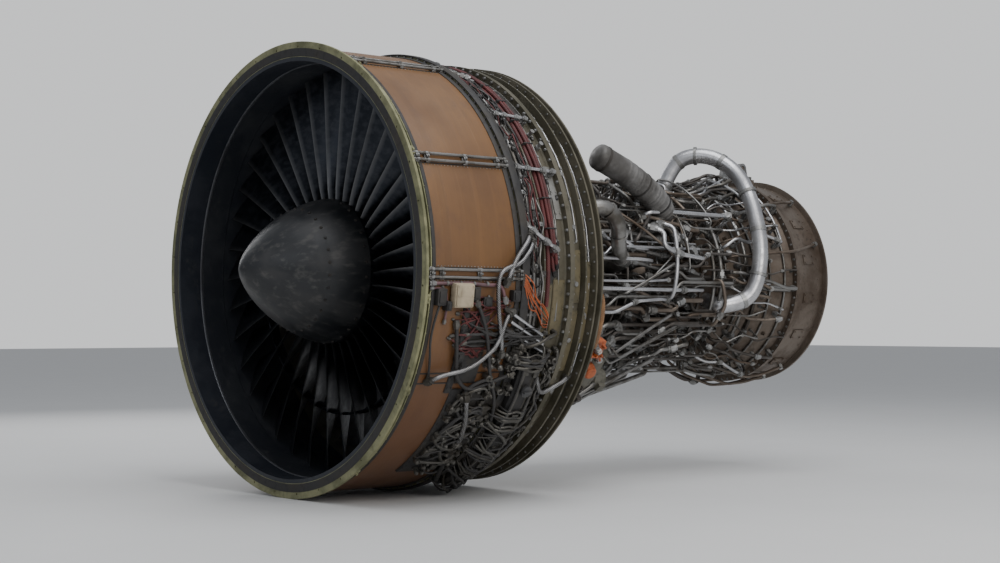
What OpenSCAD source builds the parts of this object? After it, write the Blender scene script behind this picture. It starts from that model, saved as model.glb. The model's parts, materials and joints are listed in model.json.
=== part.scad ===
// A large two-shaft turbofan engine without its cowls.
// The fan turns in a wrapped case at the front. Behind it a slim core carries the
// compressor, combustor and turbines, with the gearbox below and ducts and pipes around it.
// X runs aft along the shaft from the front flange, Z is up, and the left side is -Y.

/* [Fan] */
// Radius of the fan at the blade tips
fan_tip_r = 1181; // [1150:1:1200]
// Running gap between the blade tips and the rub strip
tip_gap = 9; // [6:1:14]
// Number of fan blades
fan_blades_n = 38; // [34:1:40]
// Radius of the blade platforms, where the airfoils start
hub_r = 420; // [410:1:430]
// Distance from the front flange to the front face of the fan disk
fan_x = 290; // [270:1:310]
// Length of the fan disk along the shaft
fan_l = 250; // [240:1:255]
// Length of the spinner in front of the fan disk
spinner_l = 600; // [560:1:640]
// Radius of the part-span shroud at its middle
shroud_r = 830; // [800:1:860]

/* [Fan case] */
// Thickness of the acoustic liner and the rub strip
liner_t = 22; // [16:1:28]
// Length of the dark acoustic liner behind the front flange
inlet_liner_l = 150; // [120:1:180]
// Wall of the front fan case
fan_case_t = 30; // [24:1:34]
// Length of the front fan case
fan_case_l = 690; // [670:1:720]
// Height of the front flange above the case; it takes the inlet cowl
front_flange_h = 57.7; // [50:0.1:70]
// Thickness of the case flanges
flange_t = 18; // [14:1:22]
// Number of bolt holes in the front flange
front_bolts_n = 36; // [24:2:48]
// Radius of the bolt holes in the front flange
front_bolt_r = 6; // [4:0.5:8]
// Thickness of the fibre wrap around the front case
wrap_t = 26; // [18:1:30]
// Length of the rear fan case, which holds the guide vanes
rear_case_l = 370; // [350:1:400]
// Wall of the rear fan case
rear_case_t = 28; // [22:1:34]
// Number of outlet guide vanes
guide_vanes_n = 80; // [60:2:84]
// Chord of an outlet guide vane
guide_vane_chord = 190; // [170:1:200]

/* [Fan frame] */
// Length of the frame's outer ring
frame_l = 235; // [220:1:260]
// Height of the frame's rings above the rear case
frame_ring_h = 44; // [36:1:60]
// Number of struts across the bypass duct
struts_n = 12; // [8:2:14]
// Thickness of a strut
strut_t = 46; // [30:1:60]
// Radius of the bypass duct's inner wall
bypass_hub_r = 645; // [635:1:655]
// Length of the neck between the frame's outer ring and the compressor
neck_l = 185; // [170:1:220]

/* [Core cases] */
// Inner radius of the compressor case at its front
compressor_r = 405; // [400:1:412]
// Inner radius of the compressor case at its rear
compressor_rear_r = 360; // [355:1:370]
// Length of the compressor case
compressor_l = 850; // [840:1:900]
// Wall of the core's cases
core_wall = 14; // [10:1:18]
// Height of the core's flanges above the cases
core_flange_h = 34; // [26:1:40]
// Inner radius of the combustor case
combustor_r = 440; // [430:1:450]
// Length of the combustor case
combustor_l = 470; // [450:1:500]
// Inner radius of the first turbine's case
hpt_r = 470; // [462:1:480]
// Length of the first turbine's case
hpt_l = 260; // [250:1:280]
// Inner radius of the second turbine's case at its rear
lpt_r = 660; // [640:1:680]
// Length of the second turbine's case
lpt_l = 580; // [570:1:620]
// Length of the turbine rear frame
rear_frame_l = 310; // [300:1:330]
// Number of struts in the turbine rear frame
rear_struts_n = 12; // [8:2:14]
// Number of bolt holes in the rear flange
rear_bolts_n = 36; // [24:2:48]
// Radius of the bolt holes in the rear flange
rear_bolt_r = 5.5; // [4:0.5:7]

/* [Rotors] */
// Outer radius of the long shaft between the fan and its turbine
lp_shaft_r = 62; // [58:1:66]
// Wall of the rotors' shafts
shaft_wall = 22; // [16:1:26]
// Radius of the fan's stub shaft in its bearing
stub_shaft_r = 110; // [105:1:118]
// Outer radius of the compressor rotor's stub shaft
hp_shaft_r = 105; // [102:1:112]
// Number of compressor stages
compressor_stages = 14; // [10:1:14]
// Number of stages in the fan's turbine
lpt_stages = 5; // [4:1:5]

/* [Variable vanes] */
// Number of vane levers on each ring
levers_n = 24; // [20:2:34]
// Length of a vane lever between its stem and its ring
lever_l = 52; // [46:1:56]
// Width of a unison ring along the shaft
ring_w = 16; // [12:1:20]
// Depth of a unison ring
ring_t = 14; // [10:1:18]
// Distance between two unison rings
ring_pitch = 100; // [95:1:105]
// Stroke of a vane actuator to either side of rest
actuator_stroke = 28; // [15:1:30]

/* [Accessories] */
// Length of the accessory gearbox along the shaft
gearbox_l = 150; // [130:1:170]
// Depth of the accessory gearbox
gearbox_h = 150; // [130:1:170]
// Radius of the generator
generator_r = 105; // [90:1:115]
// Length of the oil tank around the case, in degrees
oil_tank_arc = 46; // [36:1:54]
// Depth of the oil tank
oil_tank_h = 120; // [90:1:130]
// Outer radius of the silver bleed duct
bleed_duct_r = 52; // [44:1:54]
// Outer radius of the dark insulated duct
insulated_duct_r = 85; // [75:1:92]
// Height of the insulated duct's open end above the combustor case
insulated_duct_h = 436; // [400:1:450]
// Length of the insulated duct along the engine
insulated_duct_l = 650; // [600:1:680]
// Height of the bleed duct's bow above the first turbine's case
bleed_duct_h = 396; // [360:1:410]
// Height of the long core pipes above the combustor case
core_pipe_h = 124; // [110:1:140]

/* [Hidden] */
$fn = 200;

// Clearance between two round faces that seat on each other
seat = 0.3;
// Clearance round a pin or rod that slides or turns
run_gap = 0.5;

// Stations along the shaft, each at the front face of what it names
rear_case_x = fan_case_l;
frame_x = rear_case_x + rear_case_l;
frame_end_x = frame_x + frame_l;
compressor_x = frame_end_x + neck_l;
combustor_x = compressor_x + compressor_l;
hpt_x = combustor_x + combustor_l;
lpt_x = hpt_x + hpt_l;
rear_frame_x = lpt_x + lpt_l;
end_x = rear_frame_x + rear_frame_l;

// Radii of the fan case, from the duct outwards
duct_r = fan_tip_r + tip_gap;
case_in_r = duct_r + liner_t + seat;
case_out_r = case_in_r + fan_case_t;
wrap_in_r = case_out_r + seat;
wrap_out_r = wrap_in_r + wrap_t;
wrap_x = 4 * flange_t;
wrap_l = fan_case_l - wrap_x - 2 * flange_t;
rear_case_out_r = duct_r + rear_case_t;
case_joint_r = case_out_r + 46;
frame_ring_r = rear_case_out_r + frame_ring_h;
front_flange_r = case_out_r + front_flange_h;
front_bolt_circle_r = (case_out_r + front_flange_r) / 2;

// The core's outside, as pairs of a station and a radius
compressor_out_r = compressor_r + core_wall;
compressor_rear_out_r = compressor_rear_r + core_wall;
combustor_out_r = combustor_r + core_wall;
hpt_out_r = hpt_r + core_wall;
lpt_out_r = lpt_r + core_wall;
combustor_cone_l = 110;
core_outside = [
  [compressor_x, compressor_out_r], [combustor_x, compressor_rear_out_r],
  [combustor_x + combustor_cone_l, combustor_out_r], [hpt_x - 1, combustor_out_r],
  [hpt_x, hpt_out_r], [lpt_x, hpt_out_r],
  [rear_frame_x - 1, lpt_out_r], [rear_frame_x, lpt_out_r], [end_x, lpt_out_r]
];
function core_r(x) = lookup(x, core_outside);

// A place on the engine: station, clock angle from the top towards the left side, and radius
function at(x, a, r) = [x, -r * sin(a), r * cos(a)];

// Turns local Z to run aft, with local X up and local Y to the left side
module on_axis() {
  rotate([0, 90, 0]) rotate([0, 0, 180]) children();
}

// Places its children at a clock angle, with local X pointing outwards
module clock(a) {
  rotate([0, 0, a]) children();
}

// Turns a profile of [radius, station] points round the shaft
module turned(points) {
  on_axis() rotate_extrude() polygon(points);
}

// A plain ring between two stations and two radii
module ring(x0, x1, r0, r1) {
  turned([[r0, x0], [r1, x0], [r1, x1], [r0, x1]]);
}

// The section of a thin wall that follows [radius, station] points, with its thickness outwards
function wall(points, t) = concat(
  points,
  [for (i = [len(points) - 1:-1:0]) [points[i][0] + t, points[i][1]]]
);

// A slim lens section with its chord along local -X, bent by its camber
module vane_section(chord, thick, camber) {
  polygon([
    [-chord / 2, 0], [-chord / 5, thick / 2 + camber], [chord / 4, thick * 0.4 + camber * 0.8],
    [chord / 2, 0], [chord / 4, -thick * 0.4 + camber * 0.8], [-chord / 5, -thick / 2 + camber]
  ]);
}

// A four-sided section for the small blades inside the core
module small_section(chord, thick, camber) {
  polygon([[-chord / 2, 0], [-chord / 8, thick / 2 + camber], [chord / 2, 0], [-chord / 8,
    -thick / 2 + camber]]);
}

// A row of straight vanes that stand radially, each with its middle at the station
module vane_row(n, x, r0, r1, chord, thick, stagger, camber = 0, start = 0, small = false) {
  on_axis() for (i = [0:n - 1])
    clock(start + i * 360 / n) translate([r0, 0, x]) rotate([0, 90, 0]) rotate([0, 0, stagger])
      linear_extrude(r1 - r0)
        if (small) small_section(chord, thick, camber);
        else vane_section(chord, thick, camber);
}

// Radius at which the flat tip of a vane still clears a round wall
function tip_inside(r, half_width, gap) = sqrt(r * r - half_width * half_width) - gap;

// Skin through rings of points: the rings have equal counts, and the ends are closed flat
module skin(rings) {
  n = len(rings[0]);
  last = len(rings) - 1;
  points = [for (ring = rings) for (p = ring) p];
  sides = [for (i = [0:last - 1]) for (j = [0:n - 1])
    let (a = i * n + j, b = i * n + (j + 1) % n, c = a + n, d = b + n)
    for (face = [[a, c, b], [b, c, d]]) face];
  first_cap = [for (j = [1:n - 2]) [0, j, j + 1]];
  last_cap = [for (j = [1:n - 2]) [last * n, last * n + j + 1, last * n + j]];
  polyhedron(points, concat(sides, first_cap, last_cap));
}

function unit(v) = v / norm(v);
// Any direction square to v
function square_to(v) = unit(cross(v, abs(v[0]) < 0.8 * norm(v) ? [1, 0, 0] : [0, 1, 0]));

// A smooth curve through the points, with a number of steps between two of them. Its first and
// last stretches stay straight, so that a pipe leaves its case squarely and its end lies flat on it
function curve(p, steps) = concat(
  [p[0]],
  [for (i = [1:len(p) - 3]) for (k = [0:steps - 1])
    let (t = k / steps, a = p[i - 1], b = p[i], c = p[i + 1], d = p[i + 2])
    0.5 * (2 * b + (c - a) * t + (2 * a - 5 * b + 4 * c - d) * t * t + (3 * b - a - 3 * c + d) * t * t * t)],
  [p[len(p) - 2], p[len(p) - 1]]
);

function tangents(p) = [for (i = [0:len(p) - 1])
  unit(p[min(i + 1, len(p) - 1)] - p[max(i - 1, 0)])];

// A pipe of a radius along a path, carried without twist
module pipe(path, r, sides = 8) {
  t = tangents(path);
  last = len(path) - 1;
  across = [for (i = 0, u = square_to(t[0]); i <= last;
    i = i + 1, u = i <= last ? unit(u - (u * t[i]) * t[i]) : u) u];
  skin([for (i = [0:last]) [for (j = [0:sides - 1])
    path[i] + r * cos(j * 360 / sides) * across[i]
            + r * sin(j * 360 / sides) * cross(t[i], across[i])]]);
}

// Fan and its turbine

nose_x = fan_x - spinner_l;
// The spinner's two parts meet at this share of its length
spinner_joint = 0.58;
spinner_joint_x = nose_x + spinner_joint * spinner_l;
spinner_wall = 10;
spinner_steps = 12;

// Radius of the spinner at a share of its length: a dome that runs level into the blades' platforms
function dome(share) = pow(1 - pow(1 - share, 1.6), 0.75);
// Points of the dome between two shares of its length, from the nose aft, at a depth inside its skin
function dome_points(from, to, depth) = [for (i = [0:spinner_steps])
  let (step = from == 0 ? pow(i / spinner_steps, 1.7) : i / spinner_steps, share = from + (to - from) * step)
  [(hub_r - depth) * dome(share), nose_x + depth + (spinner_l - depth) * share]];
// Share of the inner face's length at a station
function inner_share(x) = (x - nose_x - spinner_wall) / (spinner_l - spinner_wall);

module spinner_nose() {
  outside = dome_points(0, spinner_joint, 0);
  inside = dome_points(0, inner_share(spinner_joint_x), spinner_wall);
  color([0.13, 0.14, 0.16])
    turned(concat(outside, [for (i = [spinner_steps:-1:0]) inside[i]]));
}

module spinner_rear() {
  rim_t = 12;
  rim_h = 60;
  outside = dome_points(spinner_joint, 1, 0);
  inside = dome_points(inner_share(spinner_joint_x), inner_share(fan_x - rim_t), spinner_wall);
  color([0.16, 0.17, 0.19])
    turned(concat(
      outside,
      [[hub_r - rim_h, fan_x], [hub_r - rim_h, fan_x - rim_t]],
      [for (i = [spinner_steps:-1:0]) inside[i]]
    ));
}

slot_gap = 0.3;
platform_t = 16;
root_depth = 62;
disk_rim_r = hub_r - platform_t;
disk_bore_r = 120;
pitch_angle = 360 / fan_blades_n;

// Section of a blade's dovetail root, seen along the shaft, grown by a gap
module dovetail(gap) {
  neck = 13 + gap;
  foot = 21 + gap;
  bottom = disk_rim_r - root_depth - gap;
  polygon([
    [disk_rim_r + 8, -neck], [disk_rim_r + 8, neck], [disk_rim_r - 20, neck],
    [bottom + 14, foot], [bottom, foot - 5], [bottom, -foot + 5], [bottom + 14, -foot],
    [disk_rim_r - 20, -neck]
  ]);
}

module fan_disk() {
  color([0.45, 0.46, 0.48]) difference() {
    turned([
      [disk_bore_r, fan_x + 30], [disk_bore_r + 60, fan_x + 30], [disk_bore_r + 90, fan_x + 70],
      [disk_rim_r - root_depth - 40, fan_x + 60], [disk_rim_r - root_depth - 30, fan_x],
      [disk_rim_r - slot_gap, fan_x], [disk_rim_r - slot_gap, fan_x + fan_l],
      [disk_rim_r - root_depth - 30, fan_x + fan_l], [disk_rim_r - root_depth - 40, fan_x + fan_l - 50],
      [disk_bore_r + 90, fan_x + fan_l - 60], [disk_bore_r + 60, fan_x + fan_l],
      [disk_bore_r, fan_x + fan_l]
    ]);
    on_axis() for (i = [0:fan_blades_n - 1]) clock(i * pitch_angle)
      translate([0, 0, fan_x - 1]) linear_extrude(fan_l + 2) dovetail(slot_gap);
  }
}

// Fan blade sections from root to tip, at a share s of the airfoil's height
blade_sections_n = 5;
root_chord_x = fan_l - 24;
tip_chord_x = 150;
function blade_stagger(s) = 7 + 53 * pow(s, 0.75);
function blade_chord_x(s) = root_chord_x + (tip_chord_x - root_chord_x) * s;
function blade_thick(s) = 22 - 14 * s;
function blade_camber(s) = 8 + 26 * s * (1 - s);
blade_stations = [[0, 0], [0.25, 0.9], [0.65, 0.85], [1, 0.08]];

// One side of a blade section, from the front edge to the rear edge
function blade_side(s, side) = [for (st = blade_stations)
  let (c = blade_chord_x(s) / cos(blade_stagger(s)), bow = blade_camber(s) * sin(180 * st[0]))
  [(st[0] - 0.5) * c, bow + side * blade_thick(s) / 2 * max(st[1], 0.1)]];

function blade_ring(s) =
  let (
    r = hub_r - 6 + (fan_tip_r - hub_r + 6) * s,
    upper = blade_side(s, 1), lower = blade_side(s, -1),
    loop = concat(upper, [for (i = [len(lower) - 1:-1:0]) lower[i]]),
    g = blade_stagger(s)
  )
  [for (p = loop)
    let (ax = p[0] * cos(g) - p[1] * sin(g), tan_mm = p[0] * sin(g) + p[1] * cos(g),
      a = tan_mm / r * 180 / PI)
    [r * cos(a), r * sin(a), fan_x + fan_l / 2 + ax]];

shroud_t = 14;
shroud_w = 64;
shroud_half = (shroud_r - shroud_t / 2) * tan(pitch_angle / 2) - slot_gap;

module fan_blade() {
  skin([for (i = [0:blade_sections_n - 1]) blade_ring(i / (blade_sections_n - 1))]);
  translate([shroud_r, 0, fan_x + fan_l / 2]) cube([shroud_t, 2 * shroud_half, shroud_w], center = true);
  half = disk_rim_r * tan(pitch_angle / 2) - slot_gap;
  half_top = (hub_r - 4) * tan(pitch_angle / 2) - slot_gap;
  translate([0, 0, fan_x]) linear_extrude(fan_l) {
    polygon([[disk_rim_r, -half], [hub_r - 3, -half_top], [hub_r, 0], [hub_r - 3, half_top],
      [disk_rim_r, half]]);
    dovetail(0);
  }
}

module fan_blades() {
  color([0.22, 0.23, 0.26]) on_axis() for (i = [0:fan_blades_n - 1]) clock(i * pitch_angle) fan_blade();
}

booster_x = fan_x + fan_l;
booster_l = frame_x - booster_x - 30;
booster_hub_r = hub_r - 30;
booster_tip_r = bypass_hub_r - 110;
booster_stages = 4;
booster_pitch = (booster_l - 160) / booster_stages;

module booster_spool() {
  color([0.55, 0.56, 0.58]) turned(concat(
    [[disk_bore_r + 66, booster_x], [disk_bore_r + 66, booster_x + 14],
    [booster_hub_r - 24, booster_x + 24],
     [booster_hub_r - 24, booster_x + booster_l]],
    [[booster_hub_r - 12, booster_x + booster_l], [booster_hub_r - 12, booster_x + 24],
     [booster_hub_r, booster_x + 10], [booster_hub_r, booster_x], [booster_hub_r - 70, booster_x]]
  ));
}

function booster_stage_x(i) = booster_x + 138 + i * booster_pitch;

module booster_blades() {
  color([0.5, 0.51, 0.53]) for (i = [0:booster_stages - 1])
    vane_row(32, booster_stage_x(i), booster_hub_r - 12 + seat, booster_tip_r - 4 * i, 52, 6, 38, 4,
      small = true);
}

fan_bearing_x = frame_x + 40;
fan_bearing_l = 56;
bearing_t = 54;
core_bearing_x = compressor_x - 80;
core_bearing_l = 46;
turbine_bearing_x = rear_frame_x + 90;
turbine_bearing_l = 46;
turbine_shaft_r = lp_shaft_r + 20;

module fan_shaft() {
  flange_r = disk_bore_r + 62;
  stub_end = fan_bearing_x + fan_bearing_l + 20;
  shaft_end = turbine_bearing_x + turbine_bearing_l + 20;
  color([0.62, 0.62, 0.64]) turned([
    [disk_bore_r - 1, booster_x - 30], [disk_bore_r - 1, booster_x], [flange_r, booster_x],
    [flange_r, booster_x + 16],
    [disk_bore_r + 20, booster_x + 30], [stub_shaft_r, booster_x + 90], [stub_shaft_r, stub_end],
    [lp_shaft_r, stub_end + 50], [lp_shaft_r, turbine_bearing_x - 60],
    [turbine_shaft_r, turbine_bearing_x - 30],
    [turbine_shaft_r, shaft_end], [turbine_shaft_r - shaft_wall, shaft_end],
    [lp_shaft_r - shaft_wall, turbine_bearing_x - 30], [lp_shaft_r - shaft_wall, stub_end + 50],
    [stub_shaft_r - shaft_wall, stub_end], [stub_shaft_r - shaft_wall, booster_x - 30]
  ]);
}

lpt_pitch = (lpt_l - 40) / lpt_stages;
lpt_hub_r = 400;
lpt_disk_w = 26;
function lpt_stage_x(i) = lpt_x + 50 + i * lpt_pitch;
// Inner radius of the second turbine's case at a station
function lpt_in_r(x) = lookup(x, [[lpt_x, hpt_r], [rear_frame_x, lpt_r]]);

// The disks' section with their rims and drum is one outline, down to the cone on the shaft
module lpt_disks() {
  drum_out = lpt_hub_r - 24;
  drum_in = lpt_hub_r - 36;
  web_r = lpt_hub_r - 190;
  hub_out = lpt_hub_r - 200;
  hub_in = lpt_hub_r - 250;
  cone_x = turbine_bearing_x - 40;
  function disk_x(i) = lpt_stage_x(i) - lpt_disk_w / 2;
  last = lpt_stages - 1;
  top = [for (i = [0:last]) for (p = [[drum_out, -14], [lpt_hub_r, -20], [lpt_hub_r, 46], [drum_out, 40]])
    [p[0], disk_x(i) + p[1]]];
  cone = [
    [drum_in, disk_x(last) + 40], [drum_in, disk_x(last) + 20], [web_r, disk_x(last) + 20],
    [hub_out, disk_x(last) + 26],
    [turbine_shaft_r + 30, cone_x + 10], [turbine_shaft_r + 30, cone_x + 30],
    [turbine_shaft_r + seat, cone_x + 30],
    [turbine_shaft_r + seat, cone_x], [turbine_shaft_r + 14, cone_x], [hub_out - 24, disk_x(last) + 26]
  ];
  first_side = [[hub_in, disk_x(last) + 26], [hub_in, disk_x(last)], [hub_out, disk_x(last)],
                [web_r, disk_x(last) + 6], [drum_in, disk_x(last) + 6]];
  others = [for (i = [last - 1:-1:0]) for (p = [[drum_in, 20], [web_r, 20], [hub_out, 26], [hub_in,
    26], [hub_in, 0],
    [hub_out, 0], [web_r, 6], [drum_in, 6]]) [p[0], disk_x(i) + p[1]]];
  color([0.46, 0.44, 0.42]) turned(concat(top, cone, first_side, others, [[drum_in, disk_x(0) - 14]]));
}

module lpt_blades() {
  color([0.42, 0.38, 0.34]) for (i = [0:lpt_stages - 1])
    vane_row(40, lpt_stage_x(i), lpt_hub_r + seat,
      tip_inside(lpt_in_r(lpt_stage_x(i) - 25), 25, 8), 46, 8, -34, 6, small = true);
}

// Compressor rotor and its turbine

spool_front_r = 290;
spool_rear_r = compressor_rear_r - 34;
spool_x = compressor_x + 24;
spool_end_x = combustor_x - 20;
stage_pitch = (spool_end_x - spool_x - 30) / compressor_stages;
function spool_r(x) = lookup(x, [[spool_x, spool_front_r], [spool_end_x, spool_rear_r]]);
function compressor_in_r(x) = lookup(x, [[compressor_x, compressor_r], [combustor_x, compressor_rear_r]]);
hp_bore_r = hp_shaft_r - shaft_wall;
hpt_disk_x = hpt_x + 60;
hpt_disk_pitch = 96;
hpt_hub_r = 365;

module compressor_spool() {
  color([0.52, 0.53, 0.55]) turned([
    [hp_bore_r, core_bearing_x - 6], [hp_shaft_r, core_bearing_x - 6],
    [hp_shaft_r, core_bearing_x + core_bearing_l + 10],
    [spool_front_r - 14, spool_x - 8], [spool_front_r, spool_x], [spool_rear_r, spool_end_x],
    [spool_rear_r - 20, spool_end_x + 8], [hp_shaft_r + 10, combustor_x + 90],
    [hp_shaft_r + 10, hpt_disk_x - 20],
    [hp_bore_r, hpt_disk_x - 20], [hp_bore_r, combustor_x + 86], [spool_rear_r - 34, spool_end_x - 6],
    [spool_rear_r - 18, spool_end_x - 12], [spool_front_r - 20, spool_x + 8],
    [spool_front_r - 32, spool_x], [hp_bore_r, core_bearing_x + core_bearing_l + 20]
  ]);
}

module compressor_blades() {
  color([0.48, 0.48, 0.5]) for (i = [0:compressor_stages - 1]) {
    x = spool_x + 26 + i * stage_pitch;
    vane_row(16, x, spool_r(x + 12) + seat, tip_inside(compressor_in_r(x + 14), 12, 2), 24, 5, 35, 1,
      small = true);
  }
}

module hpt_rotor() {
  color([0.45, 0.42, 0.4]) {
    on_axis() rotate_extrude() {
      for (i = [0:1]) translate([0, hpt_disk_x + i * hpt_disk_pitch])
        polygon([[hp_bore_r, -20], [hp_bore_r + 60, -20], [hp_bore_r + 90, 0], [hpt_hub_r - 24, 6],
                 [hpt_hub_r - 14, -10], [hpt_hub_r, -10], [hpt_hub_r, 42], [hpt_hub_r - 14, 42],
                 [hpt_hub_r - 24, 26], [hp_bore_r + 90, 32], [hp_bore_r + 60, 50], [hp_bore_r, 50]]);
      polygon(wall([[hpt_hub_r - 90, hpt_disk_x + 16], [hpt_hub_r - 90,
        hpt_disk_x + hpt_disk_pitch + 16]], 12));
    }
    for (i = [0:1])
      vane_row(40, hpt_disk_x + i * hpt_disk_pitch + 16, hpt_hub_r - 6, tip_inside(hpt_r, 14, 6), 36,
        9, -40, 4, small = true);
  }
}

// A bearing: an outer race with its cage and rollers, open at the shaft
module bearing(x, l, r, rollers) {
  roller_r = 9;
  ring(x, x + l, r + bearing_t - 16, r + bearing_t);
  ring(x, x + 6, r + 6, r + bearing_t - 15);
  on_axis() for (i = [0:rollers - 1]) clock(i * 360 / rollers)
    translate([r + run_gap + roller_r, 0, x + 4]) cylinder(r = roller_r, h = l - 12, $fn = 32);
  ring(x + 3, x + 12, r + 2, r + 12);
}

module shaft_bearings() {
  color("silver") {
    bearing(fan_bearing_x, fan_bearing_l, stub_shaft_r, 18);
    bearing(core_bearing_x, core_bearing_l, hp_shaft_r, 18);
    bearing(turbine_bearing_x, turbine_bearing_l, turbine_shaft_r, 14);
  }
}

// Fan case

case_rib_h = 34;

module fan_case() {
  rib_x = 2.6 * flange_t;
  color([0.62, 0.63, 0.38]) difference() {
    turned([
      [case_in_r, 0], [front_flange_r - 2, 0], [front_flange_r, 2], [front_flange_r, flange_t - 2],
      [front_flange_r - 2, flange_t], [case_out_r + 6, flange_t], [case_out_r, flange_t + 6],
      [case_out_r, rib_x - 4], [case_out_r + case_rib_h, rib_x], [case_out_r + case_rib_h, rib_x + 7],
      [case_out_r, rib_x + 9],
      [case_out_r, fan_case_l - flange_t - 8], [case_out_r + 8, fan_case_l - flange_t],
      [case_joint_r, fan_case_l - flange_t], [case_joint_r, fan_case_l], [case_in_r, fan_case_l]
    ]);
    on_axis() for (i = [0:front_bolts_n - 1]) clock((i + 0.5) * 360 / front_bolts_n)
      translate([front_bolt_circle_r, 0, -1]) cylinder(r = front_bolt_r, h = flange_t + 2, $fn = 48);
  }
}

module inlet_liner() {
  color([0.07, 0.08, 0.1]) ring(0, inlet_liner_l, duct_r, duct_r + liner_t);
}

module rub_strip() {
  recess = 3;
  x0 = inlet_liner_l;
  color([0.12, 0.13, 0.14]) turned([
    [duct_r + 4, x0], [duct_r + 4, x0 + 10], [duct_r, x0 + 14], [duct_r, fan_x + 20],
    [duct_r + recess, fan_x + 24], [duct_r + recess, fan_x + fan_l - 20], [duct_r, fan_x + fan_l - 16],
    [duct_r, fan_case_l], [duct_r + liner_t, fan_case_l], [duct_r + liner_t, x0]
  ]);
}

module fibre_wrap() {
  edge = 12;
  color([0.62, 0.36, 0.14]) turned([
    [wrap_in_r, wrap_x], [wrap_out_r - edge, wrap_x], [wrap_out_r - 3, wrap_x + 6],
    [wrap_out_r, wrap_x + edge],
    [wrap_out_r, wrap_x + wrap_l - edge], [wrap_out_r - 3, wrap_x + wrap_l - 6],
    [wrap_out_r - edge, wrap_x + wrap_l], [wrap_in_r, wrap_x + wrap_l]
  ]);
}

module rear_fan_case() {
  x0 = rear_case_x;
  rib = rear_case_out_r + 24;
  color([0.42, 0.4, 0.3]) turned([
    [duct_r, x0], [case_joint_r, x0], [case_joint_r, x0 + flange_t], [rear_case_out_r + 8, x0 + flange_t],
    [rear_case_out_r, x0 + flange_t + 8],
    [rear_case_out_r, x0 + 0.46 * rear_case_l], [rib, x0 + 0.46 * rear_case_l + 4],
    [rib, x0 + 0.46 * rear_case_l + 14], [rear_case_out_r, x0 + 0.46 * rear_case_l + 18],
    [rear_case_out_r, frame_x - flange_t - 8], [rear_case_out_r + 8, frame_x - flange_t],
    [frame_ring_r, frame_x - flange_t], [frame_ring_r, frame_x], [duct_r, frame_x]
  ]);
}

guide_vane_x = rear_case_x + 0.52 * rear_case_l;

module guide_vanes() {
  color([0.3, 0.31, 0.33])
    vane_row(guide_vanes_n, guide_vane_x, bypass_hub_r + seat, tip_inside(duct_r, 30, seat),
      guide_vane_chord, 13, -14, 9);
}

// Fan frame and booster case

frame_wall = 20;
hub_wall = 14;
core_duct_front_r = bypass_hub_r - 125;
core_duct_hub_r = 388;
core_duct_rear_hub_r = spool_front_r - 4;

module frame_sections() {
  flange_r = compressor_out_r + core_flange_h;
  // Outer ring with its three ribs
  polygon([
    [duct_r, frame_x], [frame_ring_r, frame_x], [frame_ring_r, frame_x + 14],
    [duct_r + frame_wall + 4, frame_x + 20],
    [duct_r + frame_wall, frame_x + 0.42 * frame_l], [frame_ring_r - 8, frame_x + 0.42 * frame_l + 4],
    [frame_ring_r - 8, frame_x + 0.42 * frame_l + 16], [duct_r + frame_wall, frame_x + 0.42 * frame_l + 20],
    [duct_r + frame_wall, frame_end_x - 62], [frame_ring_r, frame_end_x - 56],
    [frame_ring_r, frame_end_x - 44],
    [duct_r + frame_wall + 10, frame_end_x - 36], [duct_r + frame_wall + 10, frame_end_x - 20],
    [frame_ring_r, frame_end_x - 12], [frame_ring_r, frame_end_x], [duct_r, frame_end_x]
  ]);
  // Bypass wall, its front web and the cone that carries the compressor
  difference() {
    polygon([
      [core_duct_front_r, frame_x], [bypass_hub_r, frame_x], [bypass_hub_r, frame_end_x],
      [compressor_out_r + 20, compressor_x - 60], [flange_r, compressor_x - 18], [flange_r, compressor_x],
      [compressor_r, compressor_x], [core_duct_front_r - 8, frame_x + 120],
      [core_duct_front_r, frame_x + 60]
    ]);
    polygon([
      [core_duct_front_r + hub_wall, frame_x + hub_wall], [bypass_hub_r - hub_wall, frame_x + hub_wall],
      [bypass_hub_r - hub_wall, frame_end_x - hub_wall], [compressor_out_r + 36, compressor_x - 80],
      [core_duct_front_r + 4, frame_x + 130]
    ]);
  }
  // Inner wall of the core's duct
  polygon(wall([[core_duct_hub_r - 14, frame_x], [core_duct_hub_r - 22, frame_x + 80],
                [core_duct_rear_hub_r - 14, compressor_x - 40],
                [core_duct_rear_hub_r - 14, compressor_x]], 14));
  // Cones and rings that carry the two front bearings
  fan_seat_r = stub_shaft_r + bearing_t + seat;
  polygon([[fan_seat_r, fan_bearing_x], [fan_seat_r + 18, fan_bearing_x], [core_duct_hub_r - 30,
    frame_x + 2],
           [core_duct_hub_r - 12, frame_x + 2], [core_duct_hub_r - 14, frame_x + 20],
           [fan_seat_r + 20, fan_bearing_x + fan_bearing_l], [fan_seat_r, fan_bearing_x + fan_bearing_l]]);
  core_seat_r = hp_shaft_r + bearing_t + seat;
  polygon([[core_seat_r, core_bearing_x], [core_seat_r + 16, core_bearing_x],
           [core_duct_rear_hub_r + 16, core_bearing_x - 40],
           [core_duct_rear_hub_r + 16, core_bearing_x - 20],
           [core_seat_r + 16, core_bearing_x + core_bearing_l - 16],
           [core_seat_r, core_bearing_x + core_bearing_l - 16]]);
}

// Arms that carry the gearbox, and the lugs of the frame on which they seat
gearbox_arms = [165, 180, 195];
gearbox_arm_r = bypass_hub_r + 123;
arm_lug_l = 20;
mount_pad_z = bypass_hub_r + 30;
mount_pad_l = 150;
mount_pad_w = 300;

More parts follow.
